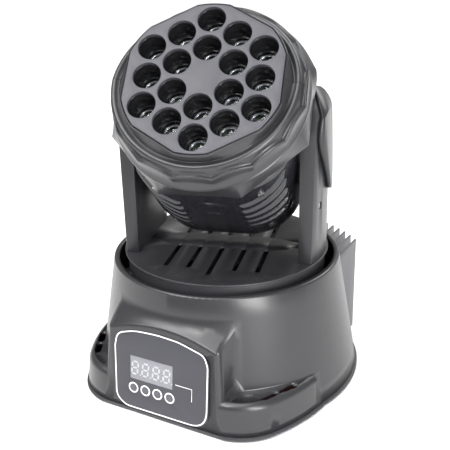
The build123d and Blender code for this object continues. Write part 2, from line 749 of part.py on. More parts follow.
with BuildPart() as turntable_disc:
    with BuildSketch(YOKE.offset(DISC_TOP - DISC_T)):
        Circle(DISC_R)
        with GridLocations(2 * CABLE_HOLE_X, 1, 2, 1):
            Circle(CABLE_HOLE_R, mode=Mode.SUBTRACT)
        for row in (-1, 1):
            with Locations((0, row * SLOT_ROW_Y)):
                with GridLocations(SLOT_STEP, 1, 5, 1):
                    SlotOverall(SLOT_LEN, SLOT_W, rotation=90, mode=Mode.SUBTRACT)
            # The middle slot reaches further out
            with Locations((0, row * (SLOT_ROW_Y + (MIDDLE_SLOT_LEN - SLOT_LEN) / 2))):
                SlotOverall(MIDDLE_SLOT_LEN, SLOT_W, rotation=90, mode=Mode.SUBTRACT)
    extrude(amount=DISC_T)
    rim = turntable_disc.edges().filter_by(GeomType.CIRCLE).sort_by(SortBy.RADIUS)[-2:]
    fillet(rim, radius=0.5)
save(turntable_disc, "turntable_disc")

with BuildPart() as turntable_skirt:
    with BuildSketch(YOKE.offset(SKIRT_LOW)):
        Circle(SKIRT_R)
        Circle(SKIRT_R - WALL, mode=Mode.SUBTRACT)
    extrude(amount=DISC_TOP - DISC_T - SKIRT_LOW)
    with BuildSketch(YOKE.offset(WEB_TOP - SKIN)):
        Circle(SKIRT_R - 1)
        Circle(SHAFT_R - SHAFT_WALL, mode=Mode.SUBTRACT)
        with PolarLocations(50, 6):
            Circle(12, mode=Mode.SUBTRACT)
    extrude(amount=SKIN)
    # Bosses under the disc
    with BuildSketch(YOKE.offset(WEB_TOP)):
        with PolarLocations(BOSS_CIRCLE_R, 8, start_angle=22.5):
            Circle(BOSS_R)
    extrude(amount=DISC_TOP - DISC_T - WEB_TOP)
save(turntable_skirt, "turntable_skirt")

with BuildPart() as pan_shaft:
    with BuildSketch(YOKE.offset(BRIDGE_Z - SHAFT_DROP)):
        Circle(SHAFT_R)
        Circle(SHAFT_R - SHAFT_WALL, mode=Mode.SUBTRACT)
    extrude(amount=WEB_TOP - SKIN - BRIDGE_Z + SHAFT_DROP)
    with BuildSketch(YOKE.offset(WEB_TOP - SKIN - WALL)):
        Circle(HUB_R)
        Circle(SHAFT_R - SHAFT_WALL, mode=Mode.SUBTRACT)
    extrude(amount=WALL)
save(pan_shaft, "pan_shaft")

save(pulley(YOKE.offset(BELT_Z - BELT_SIDE_GAP), (0, 0), PAN_PULLEY_R, SHAFT_R,
            BELT_W + 2 * BELT_SIDE_GAP), "pan_pulley")

# ---- yoke arms ----------------------------------------------------------------------
FOOT_Y, FOOT_HEIGHT = 46.0, 10.0
WINDOW_SHRINK = 3.0
COVER_TOP_Z, COVER_TOP_R = 223.0, 32.5
COVER_LOW_Z, COVER_LOW_R = 183.0, 12.0
COVER_PROUD = 3.6
ARM_SCREW_YZ = (-24.0, 163.0)
ARM_BODY_T, YOKE_BODY_H = 30.0, 160.0      # longer than the arm is thick and tall
ARM_SCREW_R, ARM_SCREW_LEN = 2.2, 11.0
YOKE_SCREW_XY = (30.0, 70.0)
PIVOT_HOLE_R = 11.0
ARM_SIDE_X = (92.4, 90.3, 88.9, 76.0)      # outside of the covered arm, from foot to crown
ARM_SIDE_Z = (172.0, 205.0, 228.0)         # heights of the first three


def arm_profile(inset):
    """Side view of an arm: straight foot, slight taper, round top."""
    low = DISC_TOP + inset
    with BuildSketch(Plane.XY, mode=Mode.PRIVATE) as outline:
        with BuildLine():
            Polyline((-ARM_HALF_LOW + inset, ARM_TOP_Z), (-ARM_HALF_LOW + inset, low),
                     (ARM_HALF_LOW - inset, low), (ARM_HALF_LOW - inset, ARM_TOP_Z), close=True)
        make_face()
        with BuildLine():
            taper = ARM_HALF_LOW - ARM_HALF_TOP
            Polyline((-ARM_HALF_LOW + inset, low), (ARM_HALF_LOW - inset, low),
                     (ARM_HALF_LOW - inset - taper, ARM_TOP_Z),
                     (-ARM_HALF_LOW + inset + taper, ARM_TOP_Z), close=True)
        make_face(mode=Mode.INTERSECT)
        with Locations((0, ARM_TOP_Z)):
            Circle(ARM_HALF_TOP - inset)
    return outline.sketch


def front_limit(side, inset):
    """Front view of the covered arm: upright side that leans in and rounds over at the top."""
    with BuildPart() as limit:
        with BuildSketch(in_frame(YOKE, Plane.XZ.offset(-ARM_HALF_LOW - FOOT_Y))):
            with BuildLine():
                low, high = DISC_TOP - 1, ARM_TOP_Z + ARM_HALF_TOP + 1
                foot, waist, shoulder, crown = (ARM_SIDE_X[k] - inset for k in range(4))
                Polyline((side * crown, high), (0, high), (0, low), (side * foot, low),
                         (side * foot, ARM_SIDE_Z[0]), (side * waist, ARM_SIDE_Z[1]),
                         (side * shoulder, ARM_SIDE_Z[2]))
                TangentArc((side * shoulder, ARM_SIDE_Z[2]), (side * crown, high),
                           tangent=(side * (shoulder - waist), ARM_SIDE_Z[2] - ARM_SIDE_Z[1]))
            make_face()
        extrude(amount=2 * (ARM_HALF_LOW + FOOT_Y))
    return limit.part


def arm_block(side, inset, start_x):
    """The arm's outer form from start_x out to the turning circle, all walls inset."""
    with BuildPart() as block:
        with BuildSketch(side_plane(side, start_x)):
            add(arm_profile(inset))
        extrude(amount=ARM_BODY_T)
        with BuildSketch(YOKE.offset(DISC_TOP)):
            Circle(ARM_R - inset)
        extrude(amount=YOKE_BODY_H, mode=Mode.INTERSECT)
        add(front_limit(side, COVER_PROUD + inset), mode=Mode.INTERSECT)
    return block.part


def cover_profile(inset):
    """Teardrop outline of the tilt drive's cover."""
    with BuildSketch(Plane.XY, mode=Mode.PRIVATE) as outline:
        with Locations((0, COVER_TOP_Z)):
            Circle(COVER_TOP_R - inset)
        with Locations((0, COVER_LOW_Z)):
            Circle(COVER_LOW_R - inset)
        make_hull()
    return outline.sketch


def cover_block(inset, radius, side_inset):
    """The cover's outline pushed out sideways to a cylinder about the pan axis."""
    with BuildPart() as block:
        with BuildSketch(side_plane(1, ARM_IN_X + 5)):
            add(cover_profile(inset))
        extrude(amount=ARM_BODY_T)
        with BuildSketch(YOKE.offset(DISC_TOP)):
            Circle(radius)
        extrude(amount=YOKE_BODY_H, mode=Mode.INTERSECT)
        add(front_limit(1, side_inset), mode=Mode.INTERSECT)
    return block.part


def make_arm(side):
    """A hollow arm, open towards the head, with a foot at the back."""
    with BuildPart() as arm:
        add(arm_block(side, 0, ARM_IN_X))
        add(arm_block(side, SKIN, ARM_IN_X - 1), mode=Mode.SUBTRACT)
        with BuildSketch(YOKE.offset(DISC_TOP)):
            with Locations((side * (ARM_IN_X + 3), (ARM_HALF_LOW + FOOT_Y) / 2 - 1)):
                Rectangle(6, FOOT_Y - ARM_HALF_LOW + 2)
        extrude(amount=FOOT_HEIGHT)
        with BuildSketch(side_plane(side, ARM_IN_X + 5)):
            with Locations(ARM_SCREW_YZ, (-ARM_SCREW_YZ[0], ARM_SCREW_YZ[1])):
                Circle(ARM_SCREW_R + 1)
        extrude(amount=ARM_BODY_T, mode=Mode.SUBTRACT)
        if side > 0:
            add(cover_block(WINDOW_SHRINK, ARM_R + 5, -5), mode=Mode.SUBTRACT)
    return arm


def make_arm_panel(side):
    """The flat plate that closes an arm on the head's side."""
    with BuildPart() as plate:
        with BuildSketch(side_plane(side, ARM_IN_X)):
            add(arm_profile(SKIN + 0.1))
            with Locations((0, TILT_Z)):
                Circle(PIVOT_HOLE_R, mode=Mode.SUBTRACT)
        extrude(amount=SHEET)
    return plate


save(make_arm(1), "right_arm")
save(make_arm(-1), "left_arm")
save(make_arm_panel(1), "right_arm_panel")
save(make_arm_panel(-1), "left_arm_panel")

COVER_T = 1.8

with BuildPart() as tilt_cover:
    add(cover_block(0, ARM_R + COVER_PROUD, 0))
    add(arm_block(1, 0, ARM_IN_X), mode=Mode.SUBTRACT)
    add(cover_block(WINDOW_SHRINK - 1, ARM_R + COVER_PROUD - COVER_T, COVER_T),
        mode=Mode.SUBTRACT)
save(tilt_cover, "tilt_cover")

with BuildPart() as yoke_screws:
    with BuildSketch(YOKE.offset(DISC_TOP)):
        with Locations((-YOKE_SCREW_XY[0], YOKE_SCREW_XY[1]), YOKE_SCREW_XY):
            Circle(2.8)
            Rectangle(4, SLOT_DRIVE_W, mode=Mode.SUBTRACT)
            Rectangle(SLOT_DRIVE_W, 4, mode=Mode.SUBTRACT)
    extrude(amount=1.2)
    for side in (-1, 1):
        for y in (ARM_SCREW_YZ[0], -ARM_SCREW_YZ[0]):
            with BuildSketch(side_plane(side, ARM_IN_X + SHEET)):
                with Locations((y, ARM_SCREW_YZ[1])):
                    Circle(ARM_SCREW_R)
            extrude(amount=ARM_SCREW_LEN)
            with BuildSketch(side_plane(side, ARM_IN_X + SHEET + ARM_SCREW_LEN)):
                with Locations((y, ARM_SCREW_YZ[1])):
                    Circle(ARM_SCREW_R + 0.8)
                    Rectangle(4, SLOT_DRIVE_W, mode=Mode.SUBTRACT)
                    Rectangle(SLOT_DRIVE_W, 4, mode=Mode.SUBTRACT)
            extrude(amount=2)
save(yoke_screws, "yoke_screws")

# ---- tilt drive ---------------------------------------------------------------------
TRUNNION_R = 7.0
TILT_BELT_X = 79.6
TILT_BELT_W = 3.6
TILT_BELT_T = 1.2
TILT_PULLEY_EDGE = 0.6     # the pulleys stand out this far beside the belt
TILT_BEARING_T = 5.0

with BuildPart() as tilt_bearings:
    for side in (-1, 1):
        with BuildSketch(side_plane(side, ARM_IN_X)):
            with Locations((0, TILT_Z)):
                Circle(PIVOT_HOLE_R)
                Circle(TRUNNION_R + RUN_FIT, mode=Mode.SUBTRACT)
        extrude(amount=TILT_BEARING_T)
save(tilt_bearings, "tilt_bearings")

MOTOR_X = ARM_IN_X + SHEET
MOTOR_T = 7.0

with BuildPart() as tilt_motor:
    with BuildSketch(side_plane(1, MOTOR_X)):
        with Locations((0, TILT_MOTOR_Z)):
            RectangleRounded(TILT_MOTOR_SIDE, TILT_MOTOR_SIDE, 4)
    extrude(amount=MOTOR_T)
    with BuildSketch(side_plane(1, MOTOR_X + 1.5)):
        with Locations((0, TILT_MOTOR_Z)):
            Circle(MOTOR_SHAFT_R + RUN_FIT)
    extrude(amount=MOTOR_T, mode=Mode.SUBTRACT)
save(tilt_motor, "tilt_motor")


def tilt_loop(grow):
    """A taut loop round the tilt pulleys in side view."""
    with BuildSketch(Plane.XY, mode=Mode.PRIVATE) as loop:
        with Locations((0, TILT_Z)):
            Circle(TILT_PULLEY_R + grow)
        with Locations((0, TILT_MOTOR_Z)):
            Circle(TILT_MOTOR_PULLEY_R + grow)
        make_hull()
    return loop.sketch


with BuildPart() as tilt_belt:
    with BuildSketch(side_plane(1, TILT_BELT_X)):
        add(tilt_loop(GAP + TILT_BELT_T))
        add(tilt_loop(GAP), mode=Mode.SUBTRACT)
    extrude(amount=TILT_BELT_W)
save(tilt_belt, "tilt_belt")

with BuildPart() as tilt_motor_pulley:
    with BuildSketch(side_plane(1, TILT_BELT_X - TILT_PULLEY_EDGE)):
        with Locations((0, TILT_MOTOR_Z)):
            Circle(TILT_MOTOR_PULLEY_R)
    extrude(amount=TILT_BELT_W + 2 * TILT_PULLEY_EDGE)
    # The motor's shaft, pressed into the pulley
    with BuildSketch(side_plane(1, MOTOR_X + 2)):
        with Locations((0, TILT_MOTOR_Z)):
            Circle(MOTOR_SHAFT_R)
    extrude(amount=TILT_BELT_X - MOTOR_X - 2)
save(tilt_motor_pulley, "tilt_motor_pulley")

with BuildPart() as tilt_pulley:
    with BuildSketch(side_plane(1, TILT_BELT_X - TILT_PULLEY_EDGE)):
        with Locations((0, TILT_Z)):
            Circle(TILT_PULLEY_R)
            Circle(TRUNNION_R, mode=Mode.SUBTRACT)
            with PolarLocations(13.5, 5):
                Circle(3.5, mode=Mode.SUBTRACT)
    extrude(amount=TILT_BELT_W + 2 * TILT_PULLEY_EDGE)
save(tilt_pulley, "tilt_pulley")

# ---- head: lens face ----------------------------------------------------------------
TUBE_R = 12.2
TUBE_LOW = 59.0
LED_BOARD_Z = 54.0
LED_BOARD_R = 66.0
TUBE_STEPS = ((66.0, LENS_R), (63.0, 9.6), (61.0, 8.2), (TUBE_LOW, 6.5))   # height, bore
LENS_Z, LENS_RIM_T, LENS_RIM_R = 61.0, 1.6, 8.1


def lens_lattice():
    """Centres of the lenses: a hexagonal lattice, two rings, one corner pointing up."""
    spots = []
    for i in range(-2, 3):
        for j in range(-2, 3):
            if abs(i + j) <= 2 and (i, j) != (0, 0):
                x = i * LENS_PITCH * math.cos(math.radians(30))
                y = i * LENS_PITCH * 0.5 + j * LENS_PITCH
                spots.append((x, y))
    return spots


LENSES = lens_lattice()

with BuildPart() as face_plate:
    with BuildSketch(HEAD.offset(FACE_Z - WALL)):
        Circle(PLATE_R + 0.2)
        RegularPolygon(PLATE_FLAT, 6, major_radius=False, rotation=30, mode=Mode.INTERSECT)
        with Locations(LENSES):
            Circle(LENS_R, mode=Mode.SUBTRACT)
    extrude(amount=WALL)
save(face_plate, "face_plate")

with BuildPart() as lens_tubes:
    # Each tube steps in towards its lens
    high = FACE_Z - WALL
    for low, bore in TUBE_STEPS:
        with BuildSketch(HEAD.offset(low)):
            with Locations(LENSES):
                Circle(TUBE_R)
                Circle(bore, mode=Mode.SUBTRACT)
        extrude(amount=high - low)
        high = low
save(lens_tubes, "lens_tubes")

with BuildPart() as lenses:
    with BuildSketch(HEAD.offset(LENS_Z)):
        with Locations(LENSES):
            Circle(LENS_RIM_R)
    extrude(amount=LENS_RIM_T)
    with BuildSketch(HEAD.offset(LENS_Z + LENS_RIM_T)):
        with Locations(LENSES):
            Circle(LENS_RIM_R - 0.5)
    extrude(amount=2.4, taper=35)
save(lenses, "lenses")

with BuildPart() as led_board:
    with BuildSketch(HEAD.offset(LED_BOARD_Z)):
        Circle(LED_BOARD_R)
        with PolarLocations(LED_BOARD_R - 2.5, 6):
            Circle(1.7, mode=Mode.SUBTRACT)
    extrude(amount=PCB_T)
save(led_board, "led_board")

with BuildPart() as led_emitters:
    with BuildSketch(HEAD.offset(LED_BOARD_Z + PCB_T)):
        with Locations(LENSES):
            Circle(4)
    extrude(amount=1.2)
    with BuildSketch(HEAD.offset(LED_BOARD_Z + PCB_T + 1.2)):
        with Locations(LENSES):
            Circle(2.7)
    extrude(amount=1.5, taper=25)
save(led_emitters, "led_emitters")

# ---- head: housings -----------------------------------------------------------------
LOWER_SECTION = in_frame(HEAD, Plane(origin=(0, 0, 0), x_dir=(-1, 0, 0), z_dir=(0, 1, 0)))
SEAM = 0.15


def half_turn(section, outline):
    """Half of a ring: an outline of (radius, height) points turned half way round."""
    with BuildPart() as half:
        with BuildSketch(section):
            with BuildLine():
                Polyline(*outline, close=True)
            make_face()
        revolve(axis=HEAD_AXIS, revolution_arc=180)
    return half


RING = ((62.6, 79.5), (62.6, 83.4), (63.9, 83.4), (66.8, 79.0), (68.6, 80.2), (70.6, 80.7),
        (72.6, 80.0), (74.6, 77.8), (78.6, 71.4), (80.3, RING_Z + SEAM),
        (77.8, RING_Z + SEAM), (76.2, 70.4), (72.4, 75.4), (66.6, 76.0))
BAND = ((80.3, RING_Z - SEAM), (BAND_R, 47.0), (BAND_R - 0.6, BAND_Z), (BAND_R - 3, BAND_Z),
        (BAND_R - 2.7, 47.2), (77.8, RING_Z - SEAM))

for half, section in (("upper", HEAD_SECTION), ("lower", LOWER_SECTION)):
    save(half_turn(section, RING), f"front_ring_{half}")
    save(half_turn(section, BAND), f"head_band_{half}")

LOUVRE_COUNT = 5
LOUVRE_STEP = 11.0
LOUVRE_W = 4.0
LOUVRE_TOP = 16.0
NOTCH_R = 9.0
FLANGE_R = 81.4
FLANGE_LOW = 41.6
GRILLE_R = 37.0
SCREW_ANGLES = (60, 120, 240, 300)
SCREW_Z = (24.0, -42.0)
SCREW_SHANK_R, SCREW_HEAD_R, SCREW_HEAD_T = 1.6, 2.8, 1.2
LOUVRE_STARTS, LOUVRE_SWEEP = (37, 111, 217, 291), 32


def rear_body(inset):
    """The rear housing's form: a rounded square tube with a domed end, all walls inset."""
    with BuildPart() as body:
        with BuildSketch(HEAD.offset(REAR_Z + inset)):
            RectangleRounded(2 * (REAR_HALF_X - inset), 2 * (REAR_HALF_Y - inset),
                             REAR_CORNER - inset)
        extrude(amount=FLANGE_LOW + SKIN - REAR_Z)
        end = body.faces().sort_by(Axis(HEAD.origin, HEAD.z_dir))[0]
        fillet(end.edges(), radius=REAR_END_R - inset)
    return body.part


def screw_seats():
    """Planes on the housing's round corners, where its screws go in."""
    seats = []
    for angle in SCREW_ANGLES:
        outward = Vector(math.cos(math.radians(angle)), math.sin(math.radians(angle)), 0)
        corner_x = math.copysign(REAR_HALF_X - REAR_CORNER, outward.X)
        corner_y = math.copysign(REAR_HALF_Y - REAR_CORNER, outward.Y)
        for z in SCREW_Z:
            spot = Vector(corner_x, corner_y, z) + outward * REAR_CORNER
            seats.append(in_frame(HEAD, Plane(origin=spot, z_dir=outward)))
    return seats


SCREW_SEATS = screw_seats()

with BuildPart() as rear_housing:
    add(rear_body(0))
    with BuildSketch(HEAD.offset(FLANGE_LOW)):
        Circle(FLANGE_R - 1.2)
    extrude(amount=SKIN)
    with BuildSketch(HEAD.offset(FLANGE_LOW + SKIN)):
        Circle(FLANGE_R)
        Circle(FLANGE_R - SKIN, mode=Mode.SUBTRACT)
    extrude(amount=4)
    add(rear_body(SKIN), mode=Mode.SUBTRACT)
    with BuildSketch(HEAD.offset(REAR_Z - 1)):
        Circle(GRILLE_R + 0.2)
    extrude(amount=WALL + 1, mode=Mode.SUBTRACT)
    with BuildSketch(HEAD.offset(FLANGE_LOW + SKIN)):
        Circle(FLANGE_R + 5)
        Circle(FLANGE_R, mode=Mode.SUBTRACT)
    extrude(amount=20, mode=Mode.SUBTRACT)
    # Louvres round the four corners
    for row in range(LOUVRE_COUNT):
        with BuildSketch(HEAD.offset(LOUVRE_TOP - row * LOUVRE_STEP)):
            for first in LOUVRE_STARTS:
                with BuildLine():
                    start, end = (math.radians(a) for a in (first, first + LOUVRE_SWEEP))
                    reach = REAR_HALF_X + REAR_CORNER
                    Polyline((0, 0), (reach * math.cos(start), reach * math.sin(start)),
                             (reach * math.cos(end), reach * math.sin(end)), close=True)
                make_face()
        extrude(amount=-LOUVRE_W, mode=Mode.SUBTRACT)
    for seat in SCREW_SEATS:
        with BuildSketch(seat.offset(1)):
            Circle(SCREW_SHANK_R)
        extrude(amount=-SKIN - 3, mode=Mode.SUBTRACT)
    # Notches that let the trunnions through
    for side in (-1, 1):
        with BuildSketch(side_plane(side, 55)):
            with Locations((0, TILT_Z)):
                Circle(NOTCH_R)
        extrude(amount=20, mode=Mode.SUBTRACT)

for half, keep in (("upper", Keep.BOTTOM), ("lower", Keep.TOP)):
    with BuildPart() as rear_shell:
        add(rear_housing.part)
        split(bisect_by=HEAD_SECTION, keep=keep)
    save(rear_shell, f"rear_shell_{half}")

with BuildPart() as head_screws:
    for seat in SCREW_SEATS:
        with BuildSketch(seat.offset(-SKIN)):
            Circle(SCREW_SHANK_R)
        extrude(amount=SKIN)
        with BuildSketch(seat):
            Circle(SCREW_HEAD_R)
        extrude(amount=SCREW_HEAD_T)
save(head_screws, "head_screws")

# ---- head: inside -------------------------------------------------------------------
FRAME_Z = 16.0
FRAME_HALF = 62.0
FAN_LOW, FAN_HIGH = -75.0, -57.0
FAN_R = 33.0
SINK_T = 6.0
FRAME_W, FRAME_DROP = 30.0, 14.0
BLADE_COUNT = 7
FAN_HUB_R = 13.0
STRUT_W, STRUT_T = 5.0, 2.5

with BuildPart() as heat_sink:
    with BuildSketch(HEAD.offset(LED_BOARD_Z - SINK_T)):
        Circle(LED_BOARD_R)
    extrude(amount=SINK_T)
    with BuildSketch(HEAD.offset(FRAME_Z + WALL)):
        with GridLocations(8, 1, 13, 1):
            Rectangle(2, 100)
        Circle(58, mode=Mode.INTERSECT)
    extrude(amount=LED_BOARD_Z - SINK_T - FRAME_Z - WALL)
save(heat_sink, "heat_sink")

with BuildPart() as head_frame:
    with BuildSketch(HEAD.offset(FRAME_Z)):
        Rectangle(2 * FRAME_HALF, FRAME_W)
        Circle(9, mode=Mode.SUBTRACT)
    extrude(amount=WALL)
    for side in (-1, 1):
        with BuildSketch(HEAD.offset(-FRAME_DROP)):
            with Locations((side * (FRAME_HALF - WALL / 2), 0)):
                Rectangle(WALL, FRAME_W)
        extrude(amount=FRAME_Z + FRAME_DROP)
        with BuildSketch(side_plane(side, FRAME_HALF - WALL - 1)):
            with Locations((0, TILT_Z)):
                Circle(TRUNNION_R)
        extrude(amount=WALL + 2, mode=Mode.SUBTRACT)
save(head_frame, "head_frame")


def trunnion(side, end_x):
    """A hollow pivot shaft from the head frame out through an arm's bearing."""
    with BuildPart() as shaft:
        with BuildSketch(side_plane(side, FRAME_HALF - WALL)):
            with Locations((0, TILT_Z)):
                Circle(TRUNNION_R)
                Circle(TRUNNION_R - 2.5, mode=Mode.SUBTRACT)
        extrude(amount=end_x - FRAME_HALF + WALL)
        with BuildSketch(side_plane(side, FRAME_HALF)):
            with Locations((0, TILT_Z)):
                Circle(NOTCH_R - 0.3)
                Circle(TRUNNION_R - 2.5, mode=Mode.SUBTRACT)
        extrude(amount=ARM_IN_X - 1 - FRAME_HALF)
    return shaft


save(trunnion(1, TILT_BELT_X + TILT_BELT_W + 1), "right_trunnion")
save(trunnion(-1, ARM_IN_X + 9), "left_trunnion")

with BuildPart() as fan_frame:
    with BuildSketch(HEAD.offset(FAN_LOW)):
        Circle(FAN_R + 3.5)
        Circle(FAN_R, mode=Mode.SUBTRACT)
    extrude(amount=FAN_HIGH - FAN_LOW)
    with BuildSketch(HEAD.offset(FAN_HIGH - STRUT_T)):
        Circle(FAN_HUB_R + 1)
        Rectangle(2 * FAN_R + 4, STRUT_W)
        Rectangle(STRUT_W, 2 * FAN_R + 4)
    extrude(amount=STRUT_T)
    with BuildSketch(HEAD.offset(FAN_HIGH - STRUT_T)):
        Circle(2)
    extrude(amount=-6)
save(fan_frame, "fan_frame")

with BuildPart() as fan_rotor:
    with BuildSketch(HEAD.offset(FAN_LOW + 1)):
        Circle(FAN_HUB_R)
    extrude(amount=FAN_HIGH - FAN_LOW - 4.5)
    with BuildSketch(HEAD.offset(FAN_LOW + 2)):
        for index in range(BLADE_COUNT):
            blade_turn = index * 360 / BLADE_COUNT
            with Locations(Location((0, 0, 0), blade_turn)):
                with Locations((21.8, 0)):
                    Rectangle(20, 3.2, rotation=18)
    extrude(amount=10)
    with BuildSketch(HEAD.offset(FAN_HIGH - 2)):
        Circle(2.2)
    extrude(amount=-8, mode=Mode.SUBTRACT)
save(fan_rotor, "fan_rotor")

with BuildPart() as fan_grille:
    with BuildSketch(HEAD.offset(REAR_Z)):
        for radius in (GRILLE_R - 6 * ring for ring in range(5)):
            Circle(radius)
            Circle(radius - 2.0, mode=Mode.SUBTRACT)
        Rectangle(2 * GRILLE_R - 1, 3)
        Rectangle(3, 2 * GRILLE_R - 1)
        Circle(7)
    extrude(amount=2)
save(fan_grille, "fan_grille")
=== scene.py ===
"""Looks of the moving head light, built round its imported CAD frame.

Everything is in the frame's axes. Lengths are given in millimetres in the local frames
HEAD and PANEL, and turned into metres when a mesh is made.
"""
import json
import math

import bpy
import bmesh
from mathutils import Matrix, Vector


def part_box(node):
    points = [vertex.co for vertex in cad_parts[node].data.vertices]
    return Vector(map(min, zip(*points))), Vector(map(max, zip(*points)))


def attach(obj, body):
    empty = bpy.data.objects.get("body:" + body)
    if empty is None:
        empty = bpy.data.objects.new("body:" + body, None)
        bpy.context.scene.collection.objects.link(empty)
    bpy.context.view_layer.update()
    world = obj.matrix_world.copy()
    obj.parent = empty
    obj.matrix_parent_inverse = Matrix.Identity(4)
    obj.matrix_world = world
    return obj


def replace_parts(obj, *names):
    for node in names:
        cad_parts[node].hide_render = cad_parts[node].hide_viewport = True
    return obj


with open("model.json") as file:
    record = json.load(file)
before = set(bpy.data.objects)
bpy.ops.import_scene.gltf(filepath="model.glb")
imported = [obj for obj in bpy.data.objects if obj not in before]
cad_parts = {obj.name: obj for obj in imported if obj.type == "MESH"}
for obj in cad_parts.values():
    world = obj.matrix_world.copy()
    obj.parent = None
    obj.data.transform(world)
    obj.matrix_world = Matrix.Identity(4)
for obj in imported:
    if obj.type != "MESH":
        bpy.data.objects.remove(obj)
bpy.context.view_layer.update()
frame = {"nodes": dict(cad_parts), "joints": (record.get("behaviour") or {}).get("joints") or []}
MM = 0.001
nodes = frame["nodes"]
joints = {joint["name"]: joint for joint in frame["joints"]}


# ---- local frames, read from the joints ---------------------------------------------
def axes_at(origin, x_axis, z_axis):
    """A matrix from local millimetres to the row frame's metres."""
    x_axis, z_axis = Vector(x_axis).normalized(), Vector(z_axis).normalized()
    turn = Matrix((x_axis, z_axis.cross(x_axis), z_axis)).transposed().to_4x4()
    return Matrix.Translation(origin) @ turn @ Matrix.Scale(MM, 4)


side_axis = Vector(joints["tilt"]["axis"])
TILT_AT = Vector(joints["tilt"]["pos_m"])
HEAD = axes_at(TILT_AT, side_axis, joints["fan_spin"]["axis"])

outward = -Vector(joints["menu_press"]["axis"])
PANEL_T = 0.6
panel_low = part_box("control_panel")[0]
PANEL = axes_at((0, panel_low.y, panel_low.z + PANEL_T * MM * outward.z), (1, 0, 0), outward)


# ---- camera ---------------------------------------------------------------------------
CAMERA_AT = Vector((0.2968, -0.5375, 0.3725))
VIEW_AZIMUTH = 29.0
VIEW_DOWN = 21.5
VIEW_ROLL = -1.36
FOCAL_MM = 59.44
SENSOR_MM = 36.0

azimuth, down = math.radians(VIEW_AZIMUTH), math.radians(VIEW_DOWN)
look = Vector((-math.sin(azimuth) * math.cos(down), math.cos(azimuth) * math.cos(down),
               -math.sin(down)))
camera_data = bpy.data.cameras.new("camera")
camera_data.lens = FOCAL_MM
camera_data.sensor_width = SENSOR_MM
camera = bpy.data.objects.new("camera", camera_data)
bpy.context.scene.collection.objects.link(camera)
camera.location = CAMERA_AT
camera.rotation_mode = "QUATERNION"
roll = Matrix.Rotation(math.radians(VIEW_ROLL), 4, "Z").to_quaternion()
camera.rotation_quaternion = look.to_track_quat("-Z", "Y") @ roll
bpy.context.scene.camera = camera
bpy.context.scene.view_settings.view_transform = "Standard"


# ---- mesh helpers ---------------------------------------------------------------------
SHARP_ANGLE = math.radians(34)


def smooth_shade(mesh, angle=SHARP_ANGLE):
    mesh.polygons.foreach_set("use_smooth", [True] * len(mesh.polygons))
    mesh.set_sharp_from_angle(angle=angle)


def piece(name, vertices, faces, place, material, body, slot, angle=SHARP_ANGLE):
    """A mesh piece from local millimetres, riding on a body."""
    mesh = bpy.data.meshes.new(name)
    mesh.from_pydata([place @ Vector(v) for v in vertices], [], faces)
    tidy = bmesh.new()
    tidy.from_mesh(mesh)
    bmesh.ops.remove_doubles(tidy, verts=tidy.verts, dist=1e-6)
    bmesh.ops.recalc_face_normals(tidy, faces=tidy.faces)
    tidy.to_mesh(mesh)
    tidy.free()
    smooth_shade(mesh, angle)
    mesh.materials.append(material)
    made = bpy.data.objects.new(name, mesh)
    bpy.context.scene.collection.objects.link(made)
    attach(made, body)
    return made


def sweep_loops(loops, closed=False):
    """Vertices and faces of a skin over loops of equal length, capped unless it closes."""
    count = len(loops[0])
    vertices = [point for loop in loops for point in loop]
    faces = []
    for i in range(len(loops) if closed else len(loops) - 1):
        low, high = i * count, (i + 1) % len(loops) * count
        for k in range(count):
            n = (k + 1) % count
            faces.append((low + k, low + n, high + n, high + k))
    if not closed:
        faces.append(tuple(range(count)))
        faces.append(tuple(range((len(loops) - 1) * count, len(loops) * count)))
    return vertices, faces


def polar(angle, radius, height):
    turn = math.radians(angle)
    return radius * math.cos(turn), radius * math.sin(turn), height


def smoothstep(low, high, value):
    t = min(1.0, max(0.0, (value - low) / (high - low)))
    return t * t * (3 - 2 * t)


def spline(points, steps=6):
    """A smooth open line through the points (Catmull-Rom)."""
    ends = [points[0]] + list(points) + [points[-1]]
    line = []
    for a, b, c, d in zip(ends, ends[1:], ends[2:], ends[3:]):
        for k in range(steps):
            t = k / steps
            line.append(tuple(
                0.5 * (2 * q + (r - p) * t + (2 * p - 5 * q + 4 * r - s) * t * t
                       + (3 * q - p - 3 * r + s) * t ** 3)
                for p, q, r, s in zip(a, b, c, d)))
    line.append(tuple(points[-1]))
    return line


